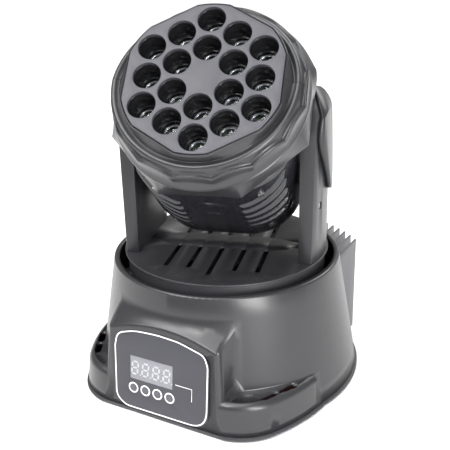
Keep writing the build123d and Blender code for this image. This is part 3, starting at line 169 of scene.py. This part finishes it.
# ---- materials --------------------------------------------------------------------------
def surface(name, colour, rough, metal=0.0, specular=0.5, grain=0.0, grain_size=0.35,
            mottle=0.06, mottle_size=18.0, coat=0.0, spread=0.05):
    """A moulded, painted or metal finish: colour mottle, uneven gloss and a fine grain.

    Sizes are in millimetres, grain is the bump's depth in millimetres.
    """
    material = bpy.data.materials.new(name)
    material.use_nodes = True
    tree = material.node_tree
    shader = tree.nodes["Principled BSDF"]
    shader.inputs["Metallic"].default_value = metal
    shader.inputs["Specular IOR Level"].default_value = specular
    shader.inputs["Coat Weight"].default_value = coat
    shader.inputs["Coat Roughness"].default_value = 0.12
    place = tree.nodes.new("ShaderNodeTexCoord")

    def noise(size, detail):
        node = tree.nodes.new("ShaderNodeTexNoise")
        node.inputs["Scale"].default_value = 1 / (size * MM)
        node.inputs["Detail"].default_value = detail
        tree.links.new(place.outputs["Object"], node.inputs["Vector"])
        return node.outputs["Fac"]

    cloud = noise(mottle_size, 4)
    ramp = tree.nodes.new("ShaderNodeValToRGB")
    ramp.color_ramp.elements[0].position = 0.3
    ramp.color_ramp.elements[1].position = 0.7
    ramp.color_ramp.elements[0].color = [c * (1 - mottle) for c in colour] + [1]
    ramp.color_ramp.elements[1].color = [min(1, c * (1 + mottle)) for c in colour] + [1]
    tree.links.new(cloud, ramp.inputs["Fac"])
    tree.links.new(ramp.outputs["Color"], shader.inputs["Base Color"])
    gloss = tree.nodes.new("ShaderNodeMapRange")
    gloss.inputs["To Min"].default_value = max(0.02, rough - spread)
    gloss.inputs["To Max"].default_value = min(1.0, rough + spread)
    tree.links.new(noise(mottle_size / 4, 3), gloss.inputs["Value"])
    tree.links.new(gloss.outputs["Result"], shader.inputs["Roughness"])
    if grain:
        bump = tree.nodes.new("ShaderNodeBump")
        bump.inputs["Strength"].default_value = 1.0
        bump.inputs["Distance"].default_value = grain * MM
        tree.links.new(noise(grain_size, 2), bump.inputs["Height"])
        tree.links.new(bump.outputs["Normal"], shader.inputs["Normal"])
    return material


def clear_plastic(name, colour, rough, ior=1.49):
    """A transparent moulding, acrylic unless told otherwise."""
    material = surface(name, colour, rough, mottle=0.02, spread=0.01)
    shader = material.node_tree.nodes["Principled BSDF"]
    shader.inputs["IOR"].default_value = ior
    shader.inputs["Transmission Weight"].default_value = 1.0
    return material


HOUSING = surface("housing_plastic", (0.020, 0.020, 0.022), 0.34, grain=0.004, coat=0.08)
FACE = surface("face_plastic", (0.046, 0.046, 0.055), 0.5, grain=0.005)
BLACK_SHELL = surface("black_shell_plastic", (0.013, 0.013, 0.016), 0.24, specular=0.6,
                      mottle_size=40)
STEEL = surface("yoke_paint", (0.024, 0.024, 0.027), 0.40, grain=0.006, grain_size=0.6)
ARM_PAINT = surface("arm_paint", (0.015, 0.015, 0.017), 0.36, specular=0.45, grain=0.006,
                    grain_size=0.6)
DARK_STEEL = surface("dark_paint", (0.016, 0.016, 0.018), 0.5, grain=0.006, grain_size=0.6)
BLACK_PLATE = surface("black_plate", (0.03, 0.03, 0.034), 0.5, grain=0.008)
FILM = surface("panel_film", (0.034, 0.034, 0.042), 0.5, grain=0.002, mottle=0.04)
WINDOW = surface("display_window", (0.19, 0.19, 0.21), 0.22, mottle=0.05, mottle_size=6)
DIGIT = surface("digit", (0.36, 0.36, 0.38), 0.4, mottle=0.05, mottle_size=3)
PRINT = surface("white_print", (0.80, 0.80, 0.80), 0.5, mottle=0.03, mottle_size=2)
BUTTON = surface("button_plastic", (0.07, 0.07, 0.08), 0.4, grain=0.004)
BOARD = surface("circuit_board", (0.02, 0.12, 0.05), 0.45, mottle=0.2, mottle_size=3)
BARE = surface("bare_metal", (0.62, 0.62, 0.62), 0.28, metal=1.0, mottle=0.08, mottle_size=2)
ALUMINIUM = surface("aluminium", (0.70, 0.70, 0.71), 0.38, metal=1.0, grain=0.004)
FINS = surface("black_fins", (0.075, 0.075, 0.082), 0.45, grain=0.006)
LENS = clear_plastic("lens", (0.9, 0.9, 0.92), 0.05)
FLANGE = surface("lens_flange", (0.75, 0.77, 0.82), 0.24, metal=0.9, mottle_size=3)
TUBE = surface("tube_plastic", (0.010, 0.010, 0.011), 0.17, specular=0.6)
LED = surface("led", (0.75, 0.72, 0.45), 0.3, mottle=0.1, mottle_size=1)
BELT = surface("belt_rubber", (0.025, 0.025, 0.025), 0.7, grain=0.02, grain_size=1)
RUBBER = surface("rubber", (0.03, 0.03, 0.03), 0.8, grain=0.02, grain_size=0.8)
CONNECTOR = surface("connector", (0.03, 0.03, 0.032), 0.35, grain=0.004)
WIRE = surface("wire_sleeve", (0.30, 0.02, 0.02), 0.45, mottle=0.2, mottle_size=8)
FAN = surface("fan_plastic", (0.03, 0.03, 0.03), 0.4, grain=0.004)

FINISH = {
    HOUSING: ("base_shell", "front_ring_upper", "front_ring_lower", "head_band_upper",
              "head_band_lower"),
    FACE: ("face_plate",),
    BLACK_SHELL: ("rear_shell_upper", "rear_shell_lower"),
    STEEL: ("turntable_disc",),
    ARM_PAINT: ("right_arm", "left_arm", "tilt_cover"),
    DARK_STEEL: ("right_arm_panel", "left_arm_panel"),
    BLACK_PLATE: ("base_plate", "rear_panel", "turntable_skirt", "power_supply", "pan_motor",
                  "tilt_motor", "display_module", "fan_grille"),
    FILM: ("control_panel",),
    WINDOW: ("display_window",),
    BUTTON: ("menu_button", "up_button", "down_button", "enter_button"),
    BOARD: ("control_board", "main_board", "led_board"),
    BARE: ("pan_bridge", "pan_shaft", "base_screws", "yoke_screws", "head_screws",
           "right_trunnion", "left_trunnion", "pan_bearing", "tilt_bearings"),
    ALUMINIUM: ("heat_sink", "head_frame", "pan_pulley", "tilt_pulley", "pan_motor_pulley",
                "tilt_motor_pulley"),
    FINS: ("cooling_fins",),
    LENS: ("lenses",),
    TUBE: ("lens_tubes",),
    LED: ("led_emitters",),
    BELT: ("pan_belt", "tilt_belt"),
    RUBBER: ("rubber_feet",),
    CONNECTOR: ("power_inlet", "fuse_holder", "data_input", "data_output"),
    WIRE: ("data_wires",),
    FAN: ("fan_frame", "fan_rotor"),
}
for material, names in FINISH.items():
    for name in names:
        mesh = nodes[name].data
        mesh.materials.clear()
        mesh.materials.append(material)

# ---- head: front rings and bands ----------------------------------------------------------
PLATE_R, PLATE_FLAT = 63.2, 60.0        # face plate: round corners, six flats
CREST_R, CREST_Z = 70.6, 80.8           # crest of the lower front ring
DISH_R, DISH_Z = 66.8, 79.0             # foot of the dish round the face plate
CREASE_FLAT, CREASE_Z = 77.0, 72.0      # sixteen-sided crease outside the crest
CREASE_CORNER_R, CREASE_WAVE = 78.6, 1.9
SEAM_TURN = 0.11                # half the gap between the two halves, in degrees
TURN_STEP = 1.0


def fold(angle, pitch):
    """Angle from the middle of the nearest side of a regular polygon."""
    return (angle + pitch / 2) % pitch - pitch / 2


def side_radius(angle, apothem, pitch):
    return apothem / math.cos(math.radians(fold(angle, pitch)))


def plate_radius(angle):
    return min(PLATE_R, side_radius(angle, PLATE_FLAT, 60))


def seam(angle, upper):
    """Where the ring meets the band behind it."""
    c, s = math.cos(math.radians(angle)), abs(math.sin(math.radians(angle)))
    if upper:
        return 78.0 + 0.5 * c, 62.0 - 5.0 * s
    return 81.5 - (3.75 - 0.75 * c) * c * c, 62.0


def ring_outline(angle, upper):
    """Closed section through a front ring: lip, dish, round crest, sixteen-sided crease, skirt."""
    c, s = math.cos(math.radians(angle)), abs(math.sin(math.radians(angle)))
    rise = s if upper else 0.0
    rp = plate_radius(angle)
    crease_r = side_radius(angle, CREASE_FLAT, 22.5)
    crease_z = CREASE_Z + (CREASE_CORNER_R - crease_r) * CREASE_WAVE - 6.0 * rise
    crease_r = crease_r * (1 - 0.022 * (1 - c) * c * c) - 2.5 * rise
    seam_r, seam_z = seam(angle, upper)
    crest_r, crest_z = CREST_R - 3.0 * rise, CREST_Z - 7.0 * rise
    dish_r, dish_z = DISH_R - 1.6 * rise, DISH_Z - 7.5 * rise
    slit = max(0.02, 1 - fold(angle, 360) / 30) if upper and angle < 90 else 0.02
    line = [(rp + 0.35, 84.6), (rp + 0.55, 85.9), (rp + 1.05, 86.3), (rp + 1.6, 85.6)]
    line += spline([(rp + 1.9, 84.6), (rp + 0.4 * (dish_r - rp) + 1.0, 82.0 - 2.6 * rise),
                    (dish_r - 0.6, dish_z)], 4)
    line += [(dish_r - 0.4, dish_z - 4.0 * slit), (dish_r - 0.3 + 1.1 * slit, dish_z - 4.0 * slit),
             (dish_r - 0.2 + 1.1 * slit, dish_z + 0.2)]
    line += spline([(crest_r - 2.2, crest_z - 1.1), (crest_r - 1.2, crest_z - 0.35),
                    (crest_r, crest_z), (crest_r + 1.3, crest_z - 0.4),
                    (crest_r + 2.4, crest_z - 1.6), (crease_r - 3.3, crease_z + 1.9),
                    (crease_r - 2.0, crease_z + 0.9), (crease_r - 0.9, crease_z + 1.3),
                    (crease_r + 0.0, crease_z + 0.8), (crease_r + 0.4, crease_z - 0.8),
                    (crease_r * 0.5 + seam_r * 0.5 - 0.6, (crease_z + seam_z) / 2 - 0.6),
                    (seam_r - 0.1, seam_z + 1.3)], 4)
    line += [(seam_r - 0.5, seam_z + 0.6), (seam_r - 2.6, seam_z + SEAM_GAP / 2),
             (crease_r - 3.6, crease_z - 3.0), (crest_r - 1.0, crest_z - 5.0),
             (dish_r - 1.0, dish_z - 5.5), (rp - 2.0, dish_z - 5.0), (rp - 2.0, 83.2),
             (rp + 0.3, 83.3)]
    return line


BAND_LOW = 44.0
BAND_FLAT, BAND_ROUND_R = 78.5, 84.6    # eight-sided below, round above
SEAM_GAP = 0.9                          # groove between the ring and the band


def band_outline(angle, upper):
    """Closed section through a band: straight sides at its rear edge below, round above."""
    seam_r, seam_z = seam(angle, upper)
    c = abs(math.cos(math.radians(angle)))
    edge = side_radius(angle, BAND_FLAT, 45)
    if upper:
        edge += (BAND_ROUND_R - edge) * (1 - c ** 12)
    front = seam_z - SEAM_GAP / 2
    line = [(seam_r - 0.8, front), (seam_r - 0.1, front - 0.5)]
    line += spline([(seam_r + 0.1, front - 1.5),
                    (seam_r + 0.55 * (edge - seam_r) + 0.3, (front + BAND_LOW) / 2),
                    (edge, BAND_LOW + 2.4)], 6)
    line += [(edge + 0.05, BAND_LOW + 1.2), (edge - 0.25, BAND_LOW + 0.4),
             (edge - 0.9, BAND_LOW), (edge - 2.4, BAND_LOW), (edge - 2.5, BAND_LOW + 2.5),
             (min(seam_r, edge) - 2.8, front - 4), (seam_r - 2.8, front)]
    return line


def half_turn(name, outline, upper, material, slot, stands_for):
    """A half ring swept round the head's axis."""
    first = 0 if upper else 180
    angles = [first + SEAM_TURN] + [first + k * TURN_STEP for k in range(1, int(180 / TURN_STEP))]
    angles.append(first + 180 - SEAM_TURN)
    for pitch in (22.5, 45, 60):
        for k in range(int(360 / pitch)):
            for corner in (k * pitch + pitch / 2, k * pitch):
                if first + 1 < corner < first + 179 and corner % TURN_STEP:
                    angles.append(corner)
    angles = sorted(set(angles))
    loops = [[polar(a, r, z) for r, z in outline(a, upper)] for a in angles]
    made = piece(name, *sweep_loops(loops), HEAD, material, "head", slot)
    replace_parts(made, stands_for)
    return made


for upper, half in ((True, "upper"), (False, "lower")):
    half_turn(f"front_ring_{half}_form", ring_outline, upper, HOUSING, "housing",
              f"front_ring_{half}")
    half_turn(f"head_band_{half}_form", band_outline, upper, HOUSING, "housing",
              f"head_band_{half}")

# ---- head: rear shells --------------------------------------------------------------------
REAR_X, REAR_Y, REAR_CORNER = 67.0, 72.3, 48.0
REAR_TOP, REAR_END, REAR_ROUND = 46.0, -78.0, 28.0
GRILLE_R = 37.2
NOTCH_R = 9.2
RIB_LOW = (7.0, -5.5, -16.0, -26.0, -35.0)        # rib heights beside the badge area
RIB_HIGH = (27.0, 12.0, -4.0, -17.5, -31.0)       # and at their far ends
RIB_FROM, RIB_TO = 70.0, 41.0                     # in degrees from the tilt axis
RIB_HALF, RIB_PROUD, RIB_GROOVE = 3.9, 2.0, 1.6
OVAL_AT, OVAL_X, OVAL_Z = 3.0, 18.0, 12.0         # oval badge: height and half sizes
SHELL_T = 2.2
WALL_ROWS, ROUND_ROWS, END_ROWS = 116, 12, 4
PIVOT_SIDE_X = 40.0                               # the pivots' notches lie outside this
BAND_STEP = 3.2                                   # the shell is narrower inside the band


def shell_radius(angle):
    """Radius of the rounded rectangle that the rear shells follow."""
    x, y = abs(math.cos(math.radians(angle))), abs(math.sin(math.radians(angle)))
    centre_x, centre_y = REAR_X - REAR_CORNER, REAR_Y - REAR_CORNER
    if y * REAR_X <= centre_y * x:
        return REAR_X / x
    if x * REAR_Y <= centre_x * y:
        return REAR_Y / y
    along = x * centre_x + y * centre_y
    return along + math.sqrt(along ** 2 - centre_x ** 2 - centre_y ** 2 + REAR_CORNER ** 2)


def shell_relief(angle, z):
    """Height of the moulded relief: corner ribs, and rings on the two flat sides."""
    steep = math.degrees(math.asin(abs(math.sin(math.radians(angle)))))
    relief = 0.0
    t = (RIB_FROM - steep) / (RIB_FROM - RIB_TO)
    fade = smoothstep(-0.10, 0.04, t) * (1 - smoothstep(0.96, 1.10, t))
    if fade:
        rows = [low + (high - low) * max(t, 0) ** 1.15 for low, high in zip(RIB_LOW, RIB_HIGH)]
        near = min(abs(z - row) for row in rows)
        if near < RIB_HALF:
            relief += fade * RIB_PROUD * math.sqrt(1 - (near / RIB_HALF) ** 2)
        if rows[-1] - 6 < z < rows[0] + 6:
            relief -= fade * RIB_GROOVE * smoothstep(RIB_HALF - 0.9, RIB_HALF + 0.6, near)
    x = shell_radius(angle) * math.cos(math.radians(angle))
    if steep > 60:
        far = math.hypot(x / OVAL_X, (z - OVAL_AT) / OVAL_Z)
        if far < 1.06:
            edge = 1 - smoothstep(0.94, 1.06, far)
            relief -= 0.8 * edge * smoothstep(0.86, 1.0, 1 - abs(far - 0.93) * 2)
            relief += 0.75 * edge * (0.5 + 0.5 * math.cos(far * 4 * 2 * math.pi)) - 0.5 * edge
    return relief


def shell_form(name, upper, stands_for):
    """One rear half shell, with the notches for the pivots left open."""
    first = 0 if upper else 180
    angles = [first + SEAM_TURN] + [first + k for k in range(1, 180)] + [first + 180 - SEAM_TURN]
    knee = REAR_END + REAR_ROUND
    rows = [("wall", REAR_TOP + (knee - REAR_TOP) * k / WALL_ROWS) for k in range(WALL_ROWS + 1)]
    rows += [("round", 90 * k / ROUND_ROWS) for k in range(1, ROUND_ROWS + 1)]
    rows += [("end", k / END_ROWS) for k in range(1, END_ROWS + 1)]
    vertices, where = [], []
    for angle in angles:
        radius = shell_radius(angle)
        for kind, value in rows:
            if kind == "wall":
                r = radius - BAND_STEP * smoothstep(38, 43, value) + shell_relief(angle, value)
                z = value
            elif kind == "round":
                turn = math.radians(value)
                r = radius - REAR_ROUND * (1 - math.cos(turn))
                z = knee - REAR_ROUND * math.sin(turn)
            else:
                r = (radius - REAR_ROUND) * (1 - value) + GRILLE_R * value
                z = REAR_END
            x, y, z = polar(angle, r, z)
            far = math.hypot(y, z)
            if abs(x) > PIVOT_SIDE_X and abs(far - NOTCH_R) < 1.0 and kind == "wall":
                y, z = y * NOTCH_R / far, z * NOTCH_R / far
                far = NOTCH_R
            vertices.append((x, y, z))
            where.append(far if abs(x) > PIVOT_SIDE_X and kind == "wall" else math.inf)
    count = len(rows)
    faces = []
    for i in range(len(angles) - 1):
        for k in range(count - 1):
            face = (i * count + k, (i + 1) * count + k, (i + 1) * count + k + 1, i * count + k + 1)
            if max(where[v] for v in face) > NOTCH_R + 1e-6:
                faces.append(face)
    made = piece(name, vertices, faces, HEAD, BLACK_SHELL, "head", "black_shell", math.radians(50))
    skin = made.modifiers.new("skin", "SOLIDIFY")
    skin.thickness = SHELL_T * MM
    skin.offset = -1
    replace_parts(made, stands_for)
    return made


shell_form("rear_shell_upper_form", True, "rear_shell_upper")
shell_form("rear_shell_lower_form", False, "rear_shell_lower")

# ---- head: lenses --------------------------------------------------------------------------
LENS_PITCH = 25.0
LENS_LOW, LENS_RIM = 61.0, 62.6
LENS_OUT_R, DOME_R, DOME_H = 8.1, 7.7, 4.6


def lens_centres():
    spots = []
    for i in range(-2, 3):
        for j in range(-2, 3):
            if abs(i + j) <= 2 and (i, j) != (0, 0):
                spots.append((i * LENS_PITCH * math.cos(math.radians(30)),
                              i * LENS_PITCH * 0.5 + j * LENS_PITCH))
    return spots


def lathe(sections, centre, steps=40):
    """Loops of a turned form about an upright line in local axes."""
    return [[(centre[0] + r * math.cos(2 * math.pi * k / steps),
              centre[1] + r * math.sin(2 * math.pi * k / steps), z) for k in range(steps)]
            for r, z in sections]


def gather(forms):
    """Join several (vertices, faces) forms."""
    vertices, faces = [], []
    for more, links in forms:
        base = len(vertices)
        vertices += more
        faces += [tuple(v + base for v in face) for face in links]
    return vertices, faces


dome = [(LENS_OUT_R, LENS_LOW), (LENS_OUT_R, LENS_RIM), (DOME_R, LENS_RIM + 0.1)]
dome += [(DOME_R * math.cos(math.radians(a)), LENS_RIM + 0.1 + DOME_H * math.sin(math.radians(a)))
         for a in range(9, 90, 9)]
dome.append((0.15, LENS_RIM + 0.1 + DOME_H))
lens_forms = [sweep_loops(lathe(dome, spot)) for spot in lens_centres()]
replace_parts(piece("lens_domes", *gather(lens_forms), HEAD, LENS, "head", "lens"), "lenses")

# The moulded flange round each lens: three fine ridges stepping down to the dome
flange = [(8.05, LENS_RIM + 0.1), (8.05, LENS_RIM + 1.7), (7.8, LENS_RIM + 1.95),
          (7.5, LENS_RIM + 1.7), (7.45, LENS_RIM + 1.2), (7.05, LENS_RIM + 1.2),
          (7.0, LENS_RIM + 2.3), (6.75, LENS_RIM + 2.5), (6.5, LENS_RIM + 2.3),
          (6.45, LENS_RIM + 2.2), (6.1, LENS_RIM + 3.0), (5.85, LENS_RIM + 3.2),
          (5.7, LENS_RIM + 3.0), (5.7, LENS_RIM + 0.4), (7.6, LENS_RIM + 0.3)]
flange_forms = [sweep_loops(lathe(flange, spot), closed=True) for spot in lens_centres()]
piece("lens_flanges", *gather(flange_forms), HEAD, FLANGE, "head", "lens")

# ---- control panel: print and digits -------------------------------------------------------
PANEL_LOW = 6.0
PRINT_T = 0.06
WINDOW_AT = (-8.8, 42.2)
BUTTON_X = (-26.1, -14.4, -2.7, 9.0)
BUTTON_V = 23.9
RING_OUT_R, RING_IN_R = 4.7, 3.45       # printed ring round each button
BORDER_W, LEADER_W = 1.1, 0.5


def rounded_line(corners, radii, steps=8):
    """A closed line with round corners through the corner points."""
    line = []
    count = len(corners)
    for k in range(count):
        here = Vector(corners[k])
        before, after = Vector(corners[k - 1]) - here, Vector(corners[(k + 1) % count]) - here
        half = before.angle(after) / 2
        reach = min(radii[k] / math.tan(half), 0.49 * before.length, 0.49 * after.length)
        a, b = here + before.normalized() * reach, here + after.normalized() * reach
        for n in range(steps + 1):
            t = n / steps
            line.append(tuple(a * (1 - t) ** 2 + here * 2 * t * (1 - t) + b * t ** 2))
    return line


def strip(line, width, closed, low=0.0, thick=PRINT_T):
    """A flat printed line of even width in panel coordinates."""
    points = [Vector(p) for p in line]
    loops = []
    for k, point in enumerate(points):
        ahead = points[(k + 1) % len(points)] if closed or k + 1 < len(points) else point
        back = points[k - 1] if closed or k else point
        along = (ahead - back).normalized()
        across = Vector((-along.y, along.x)) * width / 2
        a, b = point + across, point - across
        loops.append([(a.x, a.y - PANEL_LOW, low), (b.x, b.y - PANEL_LOW, low),
                      (b.x, b.y - PANEL_LOW, low + thick), (a.x, a.y - PANEL_LOW, low + thick)])
    return sweep_loops(loops, closed)


def circle_line(centre, radius, steps=40):
    return [(centre[0] + radius * math.cos(2 * math.pi * k / steps),
             centre[1] + radius * math.sin(2 * math.pi * k / steps)) for k in range(steps)]


# The border's line: right side up, over the arch, left side down, along the bottom
border = rounded_line([(43.6, 6.0), (43.6, 60.0), (40.5, 69.0), (17.0, 75.0), (-3.0, 76.2),
                       (-25.0, 75.0), (-42.0, 69.5), (-44.3, 58.0), (-43.2, 12.0), (-34.0, 5.6)],
                      [16, 14, 14, 60, 90, 60, 14, 14, 16, 14])
prints = [strip(border, BORDER_W, True)]
for x in BUTTON_X:
    prints.append(strip(circle_line((x, BUTTON_V), (RING_OUT_R + RING_IN_R) / 2),
                        RING_OUT_R - RING_IN_R, True))
prints.append(strip([(14.3, 37.4), (29.8, 37.4), (29.8, 26.5)], LEADER_W, False))
piece("panel_print", *gather(prints), PANEL, PRINT, "base", "panel_film")

DIGIT_PITCH, DIGIT_W, DIGIT_H, STROKE, SLANT = 10.16, 5.6, 11.0, 1.5, 0.12
DIGIT_LOW, DIGIT_T = -0.2, 0.08         # the bars lie on the window, below the panel's face
DOT_GAP, DOT_SIZE = 1.7, 1.2
ROW_SHIFT = -0.6                        # the row of figures leaves room for its last point


def digit_bars(centre_x, centre_y):
    """The seven bars and the point of one lit figure eight, on the window."""
    half_w, half_h = DIGIT_W / 2, DIGIT_H / 2
    gap = STROKE * 0.6
    spans = [((-half_w + gap, y), (half_w - gap, y)) for y in (-half_h, 0, half_h)]
    spans += [((x, low + gap), (x, low + half_h - gap))
              for x in (-half_w, half_w) for low in (-half_h, 0)]
    bars = []
    for (ax, ay), (bx, by) in spans:
        ends = [(centre_x + ax + SLANT * ay, centre_y + ay),
                (centre_x + bx + SLANT * by, centre_y + by)]
        bars.append(strip(ends, STROKE, False, low=DIGIT_LOW, thick=DIGIT_T))
    dot = (centre_x + half_w + DOT_GAP, centre_y - half_h)
    bars.append(strip([dot, (dot[0] + DOT_SIZE, dot[1])], DOT_SIZE, False, low=DIGIT_LOW,
                      thick=DIGIT_T))
    return bars


digits = []
for k in range(4):
    digits += digit_bars(WINDOW_AT[0] + (k - 1.5) * DIGIT_PITCH + ROW_SHIFT, WINDOW_AT[1])
piece("display_digits", *gather(digits), PANEL, DIGIT, "base", "display")

# ---- edges of the CAD nodes ----------------------------------------------------------------
USUAL_EDGE = 0.2
EDGE_WIDTH = {
    "base_shell": 0.0, "turntable_disc": 0.0, "face_plate": 0.35, "lens_tubes": 0.25,
    "right_arm": 0.7, "left_arm": 0.7, "right_arm_panel": 0.4, "left_arm_panel": 0.4,
    "tilt_cover": 0.0, "turntable_skirt": 0.4, "base_plate": 0.3, "cooling_fins": 0.35,
    "control_panel": 0.15, "display_window": 0.1, "rear_panel": 0.3, "power_inlet": 0.3,
    "fuse_holder": 0.3, "data_input": 0.25, "data_output": 0.25, "base_screws": 0.15,
    "yoke_screws": 0.15, "head_screws": 0.3, "fan_grille": 0.3, "fan_frame": 0.4,
    "fan_rotor": 0.3, "rubber_feet": 0.3, "menu_button": 0.0, "up_button": 0.0,
    "down_button": 0.0, "enter_button": 0.0, "right_trunnion": 0.4, "left_trunnion": 0.4,
    "tilt_bearings": 0.3, "heat_sink": 0.2, "pan_bridge": 0.3, "pan_pulley": 0.2,
}
for name, node in nodes.items():
    weld = node.modifiers.new("weld", "WELD")
    weld.merge_threshold = 1e-6
    width = EDGE_WIDTH.get(name, USUAL_EDGE)
    if width:
        bevel = node.modifiers.new("edges", "BEVEL")
        bevel.width = width * MM
        bevel.segments = 2
        bevel.limit_method = "ANGLE"
        bevel.angle_limit = math.radians(40)
        bevel.use_clamp_overlap = True
        bevel.harden_normals = False
    smooth_shade(node.data)

# ---- floor and lights -------------------------------------------------------------------
FLOOR_SIZE = 40.0


def build_floor():
    mesh = bpy.data.meshes.new("floor")
    half = FLOOR_SIZE / 2
    mesh.from_pydata([(-half, -half, 0), (half, -half, 0), (half, half, 0), (-half, half, 0)],
                     [], [(0, 1, 2, 3)])
    mesh.materials.append(surface("floor_paper", (0.93, 0.93, 0.93), 0.9, mottle=0.01))
    floor = bpy.data.objects.new("floor", mesh)
    bpy.context.scene.collection.objects.link(floor)


def area_light(name, at, aim, size, power):
    data = bpy.data.lights.new(name, "AREA")
    data.shape = "RECTANGLE"
    data.size, data.size_y = size
    data.energy = power
    light = bpy.data.objects.new(name, data)
    bpy.context.scene.collection.objects.link(light)
    light.location = at
    light.rotation_euler = (Vector(aim) - Vector(at)).to_track_quat("-Z", "Y").to_euler()


# Name, place and aim in metres, size in metres, power in watts
SOFT_BOXES = (
    ("key", (-0.9, -0.9, 1.5), (0, 0, 0.15), (0.9, 0.9), 16),
    ("fill", (1.12, -0.95, 0.72), (0, 0, 0.15), (0.4, 1.0), 17),
    ("front", (-0.12, -1.05, 1.2), (0, 0, 0.25), (0.35, 0.35), 7),
    ("low", (1.25, -0.75, 0.30), (0, 0, 0.2), (0.35, 0.5), 9),
    ("back", (0.3, 1.4, 1.3), (0, 0, 0.2), (1.4, 0.8), 16),
)
SKY_POWER, SKY_SPREAD, SKY_TURN = 2.6, 50, (14, -8, 0)
ROOM_LIGHT = 0.36


def sky_light():
    """A very soft light from overhead that keeps the floor white."""
    data = bpy.data.lights.new("sky", "SUN")
    data.energy = SKY_POWER
    data.angle = math.radians(SKY_SPREAD)
    light = bpy.data.objects.new("sky", data)
    bpy.context.scene.collection.objects.link(light)
    light.rotation_euler = [math.radians(turn) for turn in SKY_TURN]


build_floor()
for box in SOFT_BOXES:
    area_light(*box)
sky_light()
world = bpy.data.worlds.new("studio")
world.use_nodes = True
world.node_tree.nodes["Background"].inputs["Color"].default_value = (1, 1, 1, 1)
world.node_tree.nodes["Background"].inputs["Strength"].default_value = ROOM_LIGHT
bpy.context.scene.world = world
